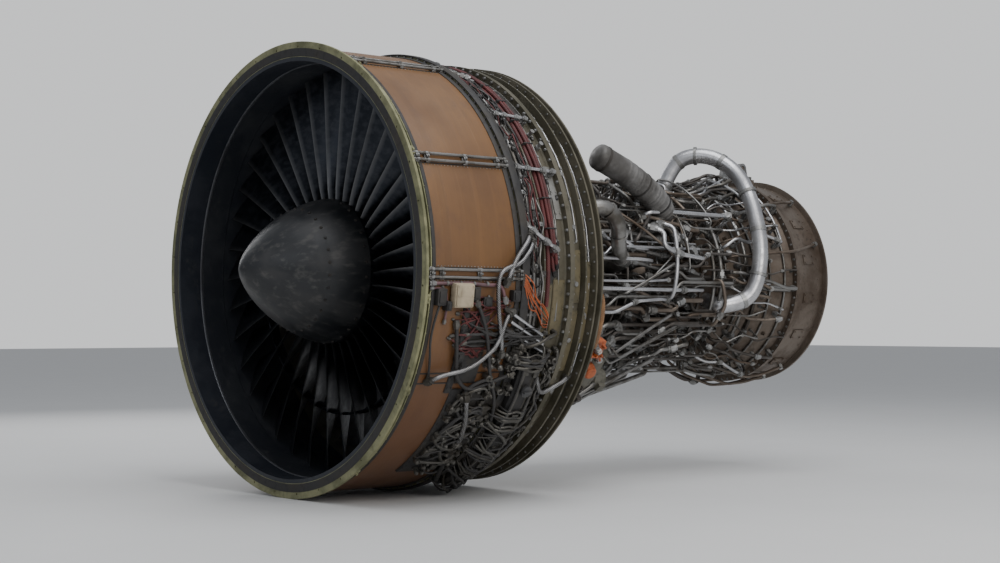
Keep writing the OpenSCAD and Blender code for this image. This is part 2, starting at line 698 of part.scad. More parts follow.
module fan_frame() {
  strut_chord = frame_l - 36;
  lug_w = 90;
  color([0.5, 0.48, 0.36]) {
    on_axis() rotate_extrude() frame_sections();
    vane_row(struts_n, frame_x + frame_l / 2, bypass_hub_r - 8, duct_r + 8, strut_chord, strut_t, 0);
    vane_row(struts_n, frame_x + 156, core_duct_rear_hub_r + 4, core_duct_front_r + 6, 120, 22, 0);
    on_axis() for (a = gearbox_arms) clock(a) translate([bypass_hub_r - 25, -lug_w / 2, frame_end_x - 40])
      cube([gearbox_arm_r + lug_w / 2 - bypass_hub_r + 25, lug_w, 40 + arm_lug_l]);
    translate([0, mount_pad_w / 2, 0]) rotate([90, 0, 0]) linear_extrude(mount_pad_w) polygon([
      [frame_end_x - 12, bypass_hub_r - 45], [frame_end_x - 12, mount_pad_z],
      [frame_end_x + mount_pad_l, mount_pad_z], [frame_end_x + mount_pad_l, mount_pad_z - 30],
      [frame_end_x + 100, compressor_out_r + 50], [frame_end_x + 60, compressor_out_r + 70]
    ]);
  }
}

splitter_x = booster_x + 70;

module booster_case() {
  lip_r = booster_tip_r + 32;
  color([0.55, 0.55, 0.52]) {
    turned([
      [lip_r, splitter_x], [lip_r + 12, splitter_x + 6], [bypass_hub_r - 10, splitter_x + 150],
      [bypass_hub_r, splitter_x + 220],
      [bypass_hub_r, frame_x], [core_duct_front_r + 30, frame_x], [core_duct_front_r + 18, frame_x - 40],
      [booster_tip_r + 26, splitter_x + 200], [booster_tip_r + 20, splitter_x + 40],
      [lip_r - 8, splitter_x + 4]
    ]);
    for (i = [-1:booster_stages - 2])
      vane_row(28, booster_stage_x(i) + booster_pitch / 2, booster_hub_r + 4, booster_tip_r + 30, 40,
        6, -24, small = true);
  }
}

// Compressor case in two halves, with ribs and split flanges
split_flange_t = 12;
rib_h = 9;

module compressor_shell() {
  flange_front = [compressor_out_r + core_flange_h, compressor_x];
  flange_rear_r = compressor_rear_out_r + core_flange_h + 30;
  slope = (compressor_rear_out_r - compressor_out_r) / compressor_l;
  rib_from = compressor_x + 5 * ring_pitch;
  ribs = floor((compressor_l - 5.4 * ring_pitch) / 60);
  turned(concat(
    [[compressor_r, compressor_x], flange_front, [flange_front[0], compressor_x + 14],
     [compressor_out_r + 4, compressor_x + 14],
     [compressor_out_r + slope * 20, compressor_x + 20]],
    [for (i = [0:ribs - 1]) for (p = [[0, 0], [rib_h, 3], [rib_h, 11], [0, 14]])
      let (x = rib_from + i * 60 + p[1]) [compressor_out_r + slope * (x - compressor_x) + p[0], x]],
    [[compressor_rear_out_r, combustor_x - 20], [flange_rear_r, combustor_x - 14],
     [flange_rear_r, combustor_x], [compressor_rear_r, combustor_x]]
  ));
}

module split_flange(side) {
  for (y = [-1, 1])
    translate([compressor_x + 20, y > 0 ? compressor_rear_out_r - 2 : -compressor_out_r - 24,
      side > 0 ? 0 : -split_flange_t])
      cube([compressor_l - 40, compressor_out_r + 26 - compressor_rear_out_r, split_flange_t]);
}

module compressor_half(side) {
  big = 2 * compressor_out_r;
  difference() {
    union() {
      compressor_shell();
      difference() {
        split_flange(side);
        turned([[0, compressor_x], [compressor_r + 4, compressor_x], [compressor_rear_r + 4,
          combustor_x], [0, combustor_x]]);
      }
    }
    translate([compressor_x - 1, -big, side > 0 ? -big : 0]) cube([compressor_l + 2, 2 * big, big]);
  }
}

module compressor_case_top() {
  color([0.4, 0.39, 0.38]) compressor_half(1);
}

module compressor_case_bottom() {
  color([0.4, 0.39, 0.38]) compressor_half(-1);
}

// Variable vanes: stems and levers on the case, four unison rings, and their drive

rings_n = 4;
lever_t = 6;
lever_w = 14;
lever_r = compressor_out_r + 30;
// Keeps the levers off the split flanges at the sides, whatever their number
lever_offset = levers_n % 4 == 0 ? 0.5 : 0;
ring_in_r = lever_r + lever_t + run_gap;
ring_out_r = ring_in_r + ring_t;
function stem_x(i) = compressor_x + 60 + i * ring_pitch;
function ring_x(i) = stem_x(i) + lever_l;

module vane_lever(i) {
  case_r = compressor_in_r(stem_x(i) - 12) + core_wall;
  translate([case_r + seat, 0, stem_x(i)]) rotate([0, 90, 0]) cylinder(r = 10, h = lever_r - case_r,
    $fn = 32);
  translate([lever_r, -lever_w / 2, stem_x(i) - 8]) cube([lever_t, lever_w, lever_l + 14]);
}

module vane_levers() {
  color([0.6, 0.6, 0.6]) on_axis() for (i = [0:rings_n - 1]) for (k = [0:levers_n - 1])
    clock((k + lever_offset) * 360 / levers_n) vane_lever(i);
}

lever_plane = ring_out_r + 34;
lever_plate_t = 14;
lever_pin_r = 8;
pivot_x = stem_x(rings_n - 1) + 130;
drive_x = compressor_x + 44;
ring_lug_w = 30;

// The two sides of the drive: -1 is the left side and 1 is the right
module unison_ring(i) {
  x = ring_x(i);
  color([0.5, 0.5, 0.5]) {
    ring(x - ring_w / 2, x + ring_w / 2, ring_in_r, ring_out_r);
    for (side = [-1, 1]) {
      translate([x - ring_w / 2, side > 0 ? ring_out_r - 4 : -lever_plane + run_gap, -ring_lug_w / 2])
        cube([ring_w, lever_plane - ring_out_r + 4 - run_gap, ring_lug_w]);
      translate([x, side * (lever_plane - 4), 0]) rotate([side > 0 ? -90 : 90, 0, 0])
        cylinder(r = lever_pin_r - 2, h = lever_plate_t + 12, $fn = 48);
    }
  }
}

module vane_ring_1() { unison_ring(0); }
module vane_ring_2() { unison_ring(1); }
module vane_ring_3() { unison_ring(2); }
module vane_ring_4() { unison_ring(3); }

// Outline of a master lever in the X and Z plane, with a slot for each pin and a round eye for the pivot
slot_half = 13;
function slot_points(x) = [
  [x - slot_half, -4], [x - slot_half + 4, -lever_pin_r], [x + slot_half - 4, -lever_pin_r],
  [x + slot_half, -4],
  [x + slot_half, 4], [x + slot_half - 4, lever_pin_r], [x - slot_half + 4, lever_pin_r], [x - slot_half, 4]
];

module master_outline() {
  eye_r = 36;
  difference() {
    polygon(concat(
      [[drive_x - 26, 18], [drive_x - 26, -18]],
      [for (a = [-80:20:80]) [pivot_x + eye_r * cos(a), eye_r * sin(a)]]
    ));
    translate([pivot_x, 0]) circle(r = lever_pin_r + 4);
    polygon(slot_points(drive_x));
    for (i = [0:rings_n - 1]) polygon(slot_points(ring_x(i)));
  }
}

module master_lever(side) {
  y0 = side > 0 ? lever_plane + lever_plate_t : -lever_plane;
  color([0.55, 0.56, 0.58]) translate([0, y0, 0]) rotate([90, 0,
    0]) linear_extrude(lever_plate_t) master_outline();
}

module master_lever_left() { master_lever(-1); }
module master_lever_right() { master_lever(1); }

// Actuator: a cylinder below the lever on a bracket, and a pivot post behind it
actuator_r = 34;
rod_r = 11;
rod_top = -30;
cylinder_top = rod_top - actuator_stroke - 14;
cylinder_l = 2 * actuator_stroke + 120;
bracket_z = cylinder_top - cylinder_l / 2 - 20;
pivot_gap = run_gap;

// Draws on both sides of the engine what is drawn for the right side
module on_side(side) {
  if (side > 0) children();
  else mirror([0, 1, 0]) children();
}

module vane_actuator(side) {
  mid_y = lever_plane + lever_plate_t / 2;
  post_y = compressor_out_r + 24 + seat;
  color([0.66, 0.67, 0.68]) on_side(side) {
    difference() {
      union() {
        translate([drive_x, mid_y, cylinder_top - cylinder_l]) cylinder(r = actuator_r, h = cylinder_l,
          $fn = 64);
        translate([compressor_x + 14, compressor_out_r - 14, bracket_z])
          cube([12, mid_y - compressor_out_r + 14, 40]);
      }
      translate([drive_x, mid_y, cylinder_top - cylinder_l + 16])
        cylinder(r = rod_r + run_gap, h = cylinder_l, $fn = 64);
    }
    translate([pivot_x - 30, post_y, -30]) cube([60, lever_plane - post_y - 6, 60]);
    translate([pivot_x, post_y + 10, 0]) rotate([-90, 0, 0])
      cylinder(r = lever_pin_r + 4 - pivot_gap, h = lever_plane + lever_plate_t + 8 - post_y - 10,
        $fn = 64);
    translate([pivot_x, lever_plane + lever_plate_t + 2, 0]) rotate([-90, 0, 0])
      cylinder(r = 22, h = 10, $fn = 64);
  }
}

module vane_actuator_left() { vane_actuator(-1); }
module vane_actuator_right() { vane_actuator(1); }

// Rod with a fork end and the pin that works in the master lever's slot
module actuator_rod(side) {
  mid_y = lever_plane + lever_plate_t / 2;
  rod_low = cylinder_top - cylinder_l + 18 + actuator_stroke;
  cheek = lever_plate_t / 2 + run_gap;
  color("silver") on_side(side) {
    translate([drive_x, mid_y, rod_low]) cylinder(r = rod_r, h = rod_top - rod_low, $fn = 64);
    for (y = [-cheek - 8, cheek]) translate([drive_x - 14, mid_y + y, rod_top - 4]) cube([28, 8, 52]);
    translate([drive_x - 14, mid_y - cheek - 8, rod_top - 10]) cube([28, 2 * cheek + 16, 10]);
    translate([drive_x, mid_y - cheek - 6, 0]) rotate([-90, 0, 0])
      cylinder(r = lever_pin_r - 2, h = 2 * cheek + 12, $fn = 48);
  }
}

module actuator_rod_left() { actuator_rod(-1); }
module actuator_rod_right() { actuator_rod(1); }

module compressor_vanes() {
  color([0.5, 0.5, 0.52]) for (i = [0:compressor_stages - 2]) {
    x = spool_x + 26 + (i + 0.5) * stage_pitch;
    vane_row(14, x, spool_r(x - 10) + 5, tip_inside(compressor_in_r(x + 10), 10, seat), 20, 4, -30, 1,
      9, small = true);
  }
}

// Combustor

nozzles_n = 20;
nozzle_x = combustor_x + 160;
boss_r = 22;
boss_h = 14;
manifold_r = combustor_out_r + 60;
manifold_tube_r = 9;

module combustor_case() {
  front_r = compressor_rear_out_r + core_flange_h + 30;
  rear_r = hpt_out_r + core_flange_h;
  color([0.36, 0.33, 0.3]) {
    turned([
      [compressor_rear_r, combustor_x], [front_r, combustor_x], [front_r, combustor_x + 14],
      [compressor_rear_out_r + 4, combustor_x + 14], [combustor_out_r, combustor_x + combustor_cone_l],
      [combustor_out_r, hpt_x - 22], [combustor_out_r + 6, hpt_x - 14], [rear_r, hpt_x - 14],
      [rear_r, hpt_x],
      [combustor_r, hpt_x], [combustor_r, combustor_x + combustor_cone_l + 4],
      [compressor_rear_r, combustor_x + 24]
    ]);
    on_axis() {
      for (i = [0:nozzles_n - 1]) clock((i + 0.5) * 360 / nozzles_n) translate([combustor_out_r - 4, 0,
        nozzle_x])
        rotate([0, 90, 0]) cylinder(r = boss_r, h = boss_h + 4, $fn = 48);
      for (a = [80, 280]) clock(a) translate([combustor_out_r - 4, 0, combustor_x + 300])
        rotate([0, 90, 0]) cylinder(r = 26, h = 30, $fn = 48);
    }
  }
}

module combustor_liner() {
  x0 = combustor_x + 130;
  x1 = hpt_x - 10;
  outer = combustor_r - 40;
  inner = 280;
  t = 6;
  // The rear flange seats in the combustor case
  color([0.5, 0.46, 0.4]) turned([
    [combustor_r - seat, x1], [combustor_r - seat, x1 - 8], [outer, x1 - 8], [outer, x0 + 30],
    [outer - 20, x0], [inner + 20, x0], [inner, x0 + 30], [inner, x1],
    [inner + t, x1], [inner + t, x0 + 32], [inner + 22, x0 + t], [outer - 22, x0 + t],
    [outer - t, x0 + 32], [outer - t, x1]
  ]);
}

module fuel_manifold() {
  seat_r = combustor_out_r + boss_h + seat;
  color("silver") {
    on_axis() rotate_extrude() translate([manifold_r, nozzle_x]) circle(r = manifold_tube_r, $fn = 24);
    on_axis() for (i = [0:nozzles_n - 1]) clock((i + 0.5) * 360 / nozzles_n) translate([seat_r, 0,
      nozzle_x]) {
      rotate([0, 90, 0]) cylinder(r = boss_r - 2, h = 9, $fn = 48);
      rotate([0, 90, 0]) cylinder(r = 11, h = manifold_r - seat_r, $fn = 32);
    }
  }
}

// Turbine cases

module hpt_case() {
  rim = hpt_out_r + core_flange_h;
  color([0.42, 0.37, 0.31]) turned([
    [hpt_r, hpt_x], [rim, hpt_x], [rim, hpt_x + 14], [hpt_out_r + 5, hpt_x + 14], [hpt_out_r, hpt_x + 20],
    [hpt_out_r, hpt_x + 110], [hpt_out_r + 14, hpt_x + 114], [hpt_out_r + 14, hpt_x + 128],
    [hpt_out_r, hpt_x + 132], [hpt_out_r, lpt_x - 20], [hpt_out_r + 5, lpt_x - 14], [rim, lpt_x - 14],
    [rim, lpt_x], [hpt_r, lpt_x]
  ]);
}

// Outer radius of the second turbine's case at a station, without its flanges
function lpt_skin_r(x) = lpt_in_r(x) + core_wall;

module lpt_case() {
  front_rim = hpt_out_r + core_flange_h;
  rear_rim = lpt_out_r + core_flange_h;
  color([0.4, 0.35, 0.29]) turned([
    [hpt_r, lpt_x], [front_rim, lpt_x], [front_rim, lpt_x + 14], [lpt_skin_r(lpt_x + 14), lpt_x + 14],
    [lpt_skin_r(rear_frame_x - 14), rear_frame_x - 14], [rear_rim, rear_frame_x - 14],
    [rear_rim, rear_frame_x],
    [lpt_r, rear_frame_x]
  ]);
}

module turbine_vanes() {
  color([0.45, 0.4, 0.35]) {
    for (x = [hpt_x + 18, hpt_disk_x + hpt_disk_pitch - 32])
      vane_row(26, x, hpt_hub_r + 6, tip_inside(hpt_r, 12, seat), 32, 8, 38, 3, small = true);
    for (i = [0:lpt_stages - 1]) {
      x = lpt_stage_x(i) - lpt_pitch / 2;
      vane_row(32, x, lpt_hub_r + 4, tip_inside(lpt_in_r(x - 16.5), 12, seat), 38, 7, 32, 4, small = true);
    }
  }
}

cooling_tube_r = 8;
cooling_rings_n = 5;

module turbine_cooling_tubes() {
  slope = atan((lpt_r - hpt_r) / lpt_l);
  lift = (cooling_tube_r + seat) / cos(slope);
  first = lpt_x + 70;
  step = (lpt_l - 150) / (cooling_rings_n - 1);
  header_r = 20;
  header_lift = (header_r + 1.4 * cooling_tube_r) / cos(slope);
  color([0.7, 0.68, 0.64]) on_axis() {
    for (i = [0:cooling_rings_n - 1]) let (x = first + i * step)
      rotate_extrude() translate([lpt_skin_r(x) + lift, x]) circle(r = cooling_tube_r, $fn = 20);
    for (a = [96, 276]) clock(a) translate([lpt_skin_r(first - 20) + header_lift, 0, first - 20])
      rotate([0, slope, 0]) cylinder(r = header_r, h = (cooling_rings_n - 1) * step / cos(slope) + 40,
        $fn = 40);
  }
}

rear_hub_r = lpt_hub_r - 10;
rear_pad_z = lpt_out_r + core_flange_h + 4;
rear_pad_x = rear_frame_x + 60;
rear_pad_l = 150;
rear_pad_w = 260;

module turbine_rear_frame() {
  rim = lpt_out_r + core_flange_h;
  seat_r = turbine_shaft_r + bearing_t + seat;
  bolt_circle_r = lpt_out_r + core_flange_h / 2 + 2;
  color([0.44, 0.4, 0.35]) difference() {
    union() {
      on_axis() rotate_extrude() {
        polygon([
          [lpt_r, rear_frame_x], [rim, rear_frame_x], [rim, rear_frame_x + 14],
          [lpt_out_r, rear_frame_x + 18],
          [lpt_out_r, end_x - 18], [rim, end_x - 14], [rim, end_x], [lpt_r, end_x]
        ]);
        polygon([
          [rear_hub_r - 18, rear_frame_x + 16], [rear_hub_r, rear_frame_x + 16], [rear_hub_r, end_x],
          [rear_hub_r - 60, end_x], [rear_hub_r - 60, end_x - 12], [rear_hub_r - 18, end_x - 16]
        ]);
        polygon([
          [seat_r, turbine_bearing_x], [seat_r + 18, turbine_bearing_x],
          [rear_hub_r - 14, rear_frame_x + 60],
          [rear_hub_r - 14, rear_frame_x + 76], [seat_r + 20, turbine_bearing_x + turbine_bearing_l],
          [seat_r, turbine_bearing_x + turbine_bearing_l]
        ]);
      }
      vane_row(rear_struts_n, rear_frame_x + 165, rear_hub_r - 6, lpt_r + 4, 190, 30, -8, 0, 15);
      difference() {
        translate([rear_pad_x, -rear_pad_w / 2, lpt_out_r - 40])
          cube([rear_pad_l, rear_pad_w, rear_pad_z - lpt_out_r + 40]);
        on_axis() translate([0, 0, rear_pad_x - 1]) cylinder(r = lpt_out_r - 4, h = rear_pad_l + 2);
      }
    }
    on_axis() for (i = [0:rear_bolts_n - 1]) clock((i + 0.5) * 360 / rear_bolts_n)
      translate([bolt_circle_r, 0, end_x - 15]) cylinder(r = rear_bolt_r, h = 20, $fn = 40);
  }
}

module rear_cover() {
  r = rear_hub_r - 30;
  color([0.36, 0.33, 0.3]) turned([
    [r, end_x], [r, end_x + 10], [r - 30, end_x + 16], [170, end_x + 40], [110, end_x + 46],
    [100, end_x + 76],
    [0, end_x + 78], [0, end_x + 66], [90, end_x + 64], [100, end_x + 34], [165, end_x + 28],
    [r - 34, end_x + 4],
    [r - 34, end_x]
  ]);
}

// Mounts

front_eye_r = 24;
front_eye_z = mount_pad_z + 100;
front_mount_x = frame_end_x + 66;
lug_t = 34;
front_lug_y = 92;

// A lug that stands on a plate, seen along Y, with a round eye
module lug(width, height, eye_r, t) {
  rotate([90, 0, 0]) linear_extrude(t, center = true) difference() {
    union() {
      polygon([[-width / 2, 0], [width / 2, 0], [eye_r * 2, height], [-eye_r * 2, height]]);
      translate([0, height]) circle(r = eye_r * 2);
    }
    translate([0, height]) circle(r = eye_r);
  }
}

module front_mount() {
  plate = 26;
  color([0.55, 0.55, 0.54]) {
    translate([front_mount_x - 60, -mount_pad_w / 2 + 12, mount_pad_z]) cube([120, mount_pad_w - 24,
      plate]);
    for (s = [-1, 1]) translate([front_mount_x, s * front_lug_y, mount_pad_z + plate - 1])
      lug(116, front_eye_z - mount_pad_z - plate + 1, front_eye_r, lug_t);
  }
}

rear_eye_r = 18;
rear_eye_z = rear_pad_z + 80;
rear_mount_x = rear_pad_x + rear_pad_l / 2;
rear_lug_y = 76;

module rear_mount() {
  plate = 22;
  color([0.55, 0.55, 0.54]) {
    translate([rear_mount_x - 60, -rear_pad_w / 2 + 10, rear_pad_z]) cube([120, rear_pad_w - 20, plate]);
    for (s = [-1, 1]) translate([rear_mount_x, s * rear_lug_y, rear_pad_z + plate - 1])
      lug(100, rear_eye_z - rear_pad_z - plate + 1, rear_eye_r, lug_t);
  }
}

// Accessories round the gearbox, which hangs below the core behind the fan frame

gearbox_x = frame_end_x + 430;
gearbox_in_r = bypass_hub_r + 70;
gearbox_mid_r = gearbox_in_r + gearbox_h / 2;
end_cover_t = 18;
gearbox_from = 122;
gearbox_to = 214;

module accessory_gearbox() {
  edge = 14;
  color([0.45, 0.44, 0.4]) {
    on_axis() {
      rotate([0, 0, gearbox_from]) rotate_extrude(angle = gearbox_to - gearbox_from) polygon([
        [gearbox_in_r, gearbox_x + edge], [gearbox_in_r + edge, gearbox_x],
        [gearbox_in_r + gearbox_h - edge, gearbox_x],
        [gearbox_in_r + gearbox_h, gearbox_x + edge],
        [gearbox_in_r + gearbox_h, gearbox_x + gearbox_l - edge],
        [gearbox_in_r + gearbox_h - edge, gearbox_x + gearbox_l],
        [gearbox_in_r + edge, gearbox_x + gearbox_l],
        [gearbox_in_r, gearbox_x + gearbox_l - edge]
      ]);
      for (a = [gearbox_from, gearbox_to]) clock(a)
        translate([gearbox_in_r + edge, -end_cover_t, gearbox_x + edge])
          cube([gearbox_h - 2 * edge, 2 * end_cover_t, gearbox_l - 2 * edge]);
      for (a = gearbox_arms) clock(a) translate([gearbox_arm_r, 0, frame_end_x + arm_lug_l])
        cylinder(r = a == 180 ? 34 : 18, h = gearbox_x - frame_end_x - arm_lug_l + 20, $fn = 48);
    }
  }
}

// Places an accessory on a face of the gearbox: 1 is the rear face and -1 the front
module on_gearbox(a, face) {
  on_axis() clock(a) translate([gearbox_mid_r, 0, face > 0 ? gearbox_x + gearbox_l : gearbox_x])
    if (face > 0) children();
    else mirror([0, 0, 1]) children();
}

// A turned accessory body, given as [radius, distance from the gearbox] points
module accessory(points) {
  rotate_extrude($fn = 96) polygon(concat([[0, 0]], points, [[0, points[len(points) - 1][1]]]));
}

module generator() {
  r = generator_r;
  color([0.72, 0.3, 0.12]) on_gearbox(gearbox_from + 4, -1) {
    accessory([[r - 15, 0], [r - 15, 16], [r - 25, 20], [r - 25, 36], [r, 48], [r, 190], [r - 8, 198],
               [r - 8, 226], [r - 30, 240], [40, 248], [36, 270]]);
    translate([r - 20, -34, 80]) cube([52, 68, 74]);
  }
}

module starter() {
  color([0.5, 0.5, 0.5]) on_gearbox(gearbox_to - 4, 1)
    accessory([[74, 0], [74, 14], [60, 20], [60, 60], [84, 74], [84, 150], [60, 170], [60, 200], [70,
      202], [70, 212]]);
}

module hydraulic_pump() {
  color([0.38, 0.4, 0.42]) on_gearbox(144, 1) {
    accessory([[66, 0], [66, 14], [46, 20], [46, 40], [64, 50], [64, 140], [50, 152], [30, 156], [28,
      176]]);
    translate([30, -26, 80]) cube([56, 52, 50]);
  }
}

module fuel_pump() {
  color([0.52, 0.5, 0.44]) on_gearbox(172, 1) {
    accessory([[84, 0], [84, 16], [70, 20], [70, 90], [86, 96], [86, 110], [66, 116], [66, 190], [40,
      200]]);
    translate([-60, 40, 60]) cube([120, 90, 110]);
  }
}

oil_tank_a = 112;
oil_tank_x = rear_case_x + 20 + flange_t;
oil_tank_l = 120;
oil_tank_in_r = rear_case_out_r + seat;

module oil_tank() {
  edge = 24;
  r0 = oil_tank_in_r;
  r1 = r0 + oil_tank_h;
  color([0.34, 0.3, 0.26]) on_axis() {
    rotate([0, 0, oil_tank_a]) rotate_extrude(angle = oil_tank_arc) polygon([
      [r0, oil_tank_x], [r1 - edge, oil_tank_x], [r1, oil_tank_x + edge],
      [r1, oil_tank_x + oil_tank_l - edge],
      [r1 - edge, oil_tank_x + oil_tank_l], [r0, oil_tank_x + oil_tank_l]
    ]);
    clock(oil_tank_a + 8) translate([r1 - 6, 0, oil_tank_x + oil_tank_l / 2]) rotate([0, 90, 0])
      cylinder(r = 30, h = 20, $fn = 64);
  }
}

module oil_filler_cap() {
  color([0.2, 0.2, 0.22]) on_axis() clock(oil_tank_a + 8)
    translate([oil_tank_in_r + oil_tank_h + 14 + seat, 0, oil_tank_x + oil_tank_l / 2]) rotate([0, 90, 0]) {
      cylinder(r = 34, h = 12, $fn = 64);
      translate([-26, -6, 11]) cube([52, 12, 14]);
    }
}

// A box that stands on the rear fan case, with its inner face flat against four short feet
module case_box(a, x, l, w, h) {
  lift = 22;
  corner_r = rear_case_out_r + lift;
  clock(a) {
    translate([corner_r, -w / 2, x]) cube([h, w, l]);
    for (y = [-w / 2 + 20, w / 2 - 20]) for (z = [x + 14, x + l - 14])
      let (foot_r = sqrt(pow(rear_case_out_r + seat, 2) - pow(max(0, abs(y) - 9), 2)))
      translate([foot_r, y, z]) rotate([0, 90, 0]) cylinder(r = 9, h = corner_r - foot_r + 2, $fn = 24);
  }
}

module control_unit() {
  color([0.5, 0.51, 0.52]) on_axis() case_box(-72, rear_case_x + 30, 120, 340, 90);
}

module ignition_boxes() {
  color([0.6, 0.6, 0.58]) on_axis() for (a = [-100, -114]) case_box(a, rear_case_x + 32, 110, 150, 70);
}

// Ducts and pipes

// A place on a duct's route: its station, its clock angle, and its height as a share of the full one
function on_route(x, a, r, h, share) = at(x, a, r + seat + h * share);

module bleed_duct() {
  // stations aft of the seat as shares of the second turbine's length, clock angles, shares of height
  route = [
    [0, 8, 0], [0, 8, 0.39], [0.138, 12, 0.85], [0.345, 22, 1], [0.491, 36, 0.92], [0.5, 56, 0.72],
    [0.448, 80, 0.61], [0.31, 100, 0.54], [0, 108, 0.32], [0, 108, 0]
  ];
  x0 = hpt_x + 0.715 * hpt_l;
  color([0.78, 0.77, 0.75]) pipe(curve([for (p = route)
    on_route(x0 + p[0] * lpt_l, p[1], hpt_out_r, bleed_duct_h, p[2])], 4), bleed_duct_r, 12);
}

module insulated_duct() {
  // stations forward of the seat as shares of the duct's length, clock angles, shares of height
  route = [
    [0, 50, 0], [0, 50, 0.25], [0.2, 46, 0.53], [0.46, 42, 0.73], [0.74, 38, 0.89], [1, 34, 1]
  ];
  x0 = combustor_x + 0.64 * combustor_l;
  color([0.17, 0.17, 0.17]) pipe(curve([for (p = route)
    on_route(x0 - p[0] * insulated_duct_l, p[1], combustor_out_r, insulated_duct_h, p[2])], 4),
    insulated_duct_r, 14);
}

core_pipe_r = 14;
long_pipe_angles = [60, 71, 80, 101, 113, 125, 138, -20, -32, -48, -62, -78];
short_pipe_angles = [66, 84, 107, 122, -26, -55, -70];

module core_pipes() {
  x0 = compressor_x + rings_n * ring_pitch + 55;
  x1 = combustor_x + 250;
  x2 = combustor_x + 345;
  x3 = hpt_x + 70;
  run_r = combustor_out_r + core_pipe_h;
  color([0.45, 0.44, 0.43]) {
    for (a = long_pipe_angles)
      pipe(curve([
        at(x0, a, core_r(x0 - core_pipe_r) + seat), at(x0, a, run_r - 48),
        at(combustor_x - 120, a + 2, run_r - 6), at(combustor_x + 120, a + 6, run_r),
        at(x1, a + 6, run_r - 30), at(x1, a + 6, combustor_out_r + seat)
      ], 3), core_pipe_r, 6);
    for (a = short_pipe_angles)
      pipe(curve([
        at(x2, a, combustor_out_r + seat), at(x2, a, run_r - 38), at(hpt_x - 20, a + 4, run_r - 10),
        at(x3, a + 8, run_r - 28), at(x3, a + 8, hpt_out_r + seat)
      ], 3), core_pipe_r, 6);
  }
}

// Pipes and rods round the fan case
pipe_stations = [[rear_case_x + 60, 12], [rear_case_x + 100, 14], [rear_case_x + 136, 10]];
rod_angles = [26.5, 63.5, 92, -30, -66];
case_rod_r = 8;

module fan_case_pipes() {
  // the rods pass over the case's front rib
  rod_centre_r = max(wrap_out_r + 15, case_out_r + case_rib_h + case_rod_r + seat);
  color([0.46, 0.47, 0.43]) on_axis() {
    rotate([0, 0, -60]) for (p = pipe_stations) rotate_extrude(angle = 165)
      translate([rear_case_out_r + p[1] + seat, p[0]]) circle(r = p[1], $fn = 20);
    for (a = rod_angles) for (s = [-0.9, 0.9]) clock(a + s)
      translate([rod_centre_r, 0, flange_t + seat])
        cylinder(r = case_rod_r, h = fan_case_l - 2 * flange_t - 2 * seat, $fn = 24);
  }
}

module wiring_harness() {
  r = 13;
  color([0.45, 0.12, 0.1]) on_axis() rotate([0, 0, -50]) rotate_extrude(angle = 150)
    translate([rear_case_out_r + r + seat, rear_case_x + 0.46 * rear_case_l + 40]) circle(r = r, $fn = 20);
}

spinner_nose();
spinner_rear();
fan_disk();
fan_blades();
booster_spool();
booster_blades();
fan_shaft();
lpt_disks();
lpt_blades();
compressor_spool();
compressor_blades();
hpt_rotor();
shaft_bearings();
fan_case();
inlet_liner();
rub_strip();
fibre_wrap();
rear_fan_case();
guide_vanes();
fan_frame();
booster_case();
compressor_case_top();
compressor_case_bottom();
compressor_vanes();
vane_levers();
vane_ring_1();
vane_ring_2();
vane_ring_3();
vane_ring_4();
master_lever_left();
master_lever_right();
vane_actuator_left();
vane_actuator_right();
actuator_rod_left();
actuator_rod_right();
combustor_case();
combustor_liner();
fuel_manifold();
hpt_case();
lpt_case();
turbine_vanes();
turbine_cooling_tubes();
turbine_rear_frame();
rear_cover();
front_mount();
rear_mount();
accessory_gearbox();
starter();
generator();
hydraulic_pump();
fuel_pump();
oil_tank();
oil_filler_cap();
control_unit();
ignition_boxes();
bleed_duct();
insulated_duct();
core_pipes();
fan_case_pipes();
wiring_harness();
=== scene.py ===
# %% [markdown]
# # A turbofan engine without its cowls
# This lesson dresses a large two-shaft jet engine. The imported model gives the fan, the cases, the core and
# every moving part in its place. Blender adds what the eye looks for: smooth fan blades, the glossy wrap of
# the containment case, bolts, clamps, hoses, and the mass of pipes round the hot core. X runs aft along the
# shaft, Z is up, and the left side of the engine is -Y. All lengths are in metres.

# %% Load the frame
import json
import math
import random

import bmesh
import bpy
from mathutils import Matrix, Vector

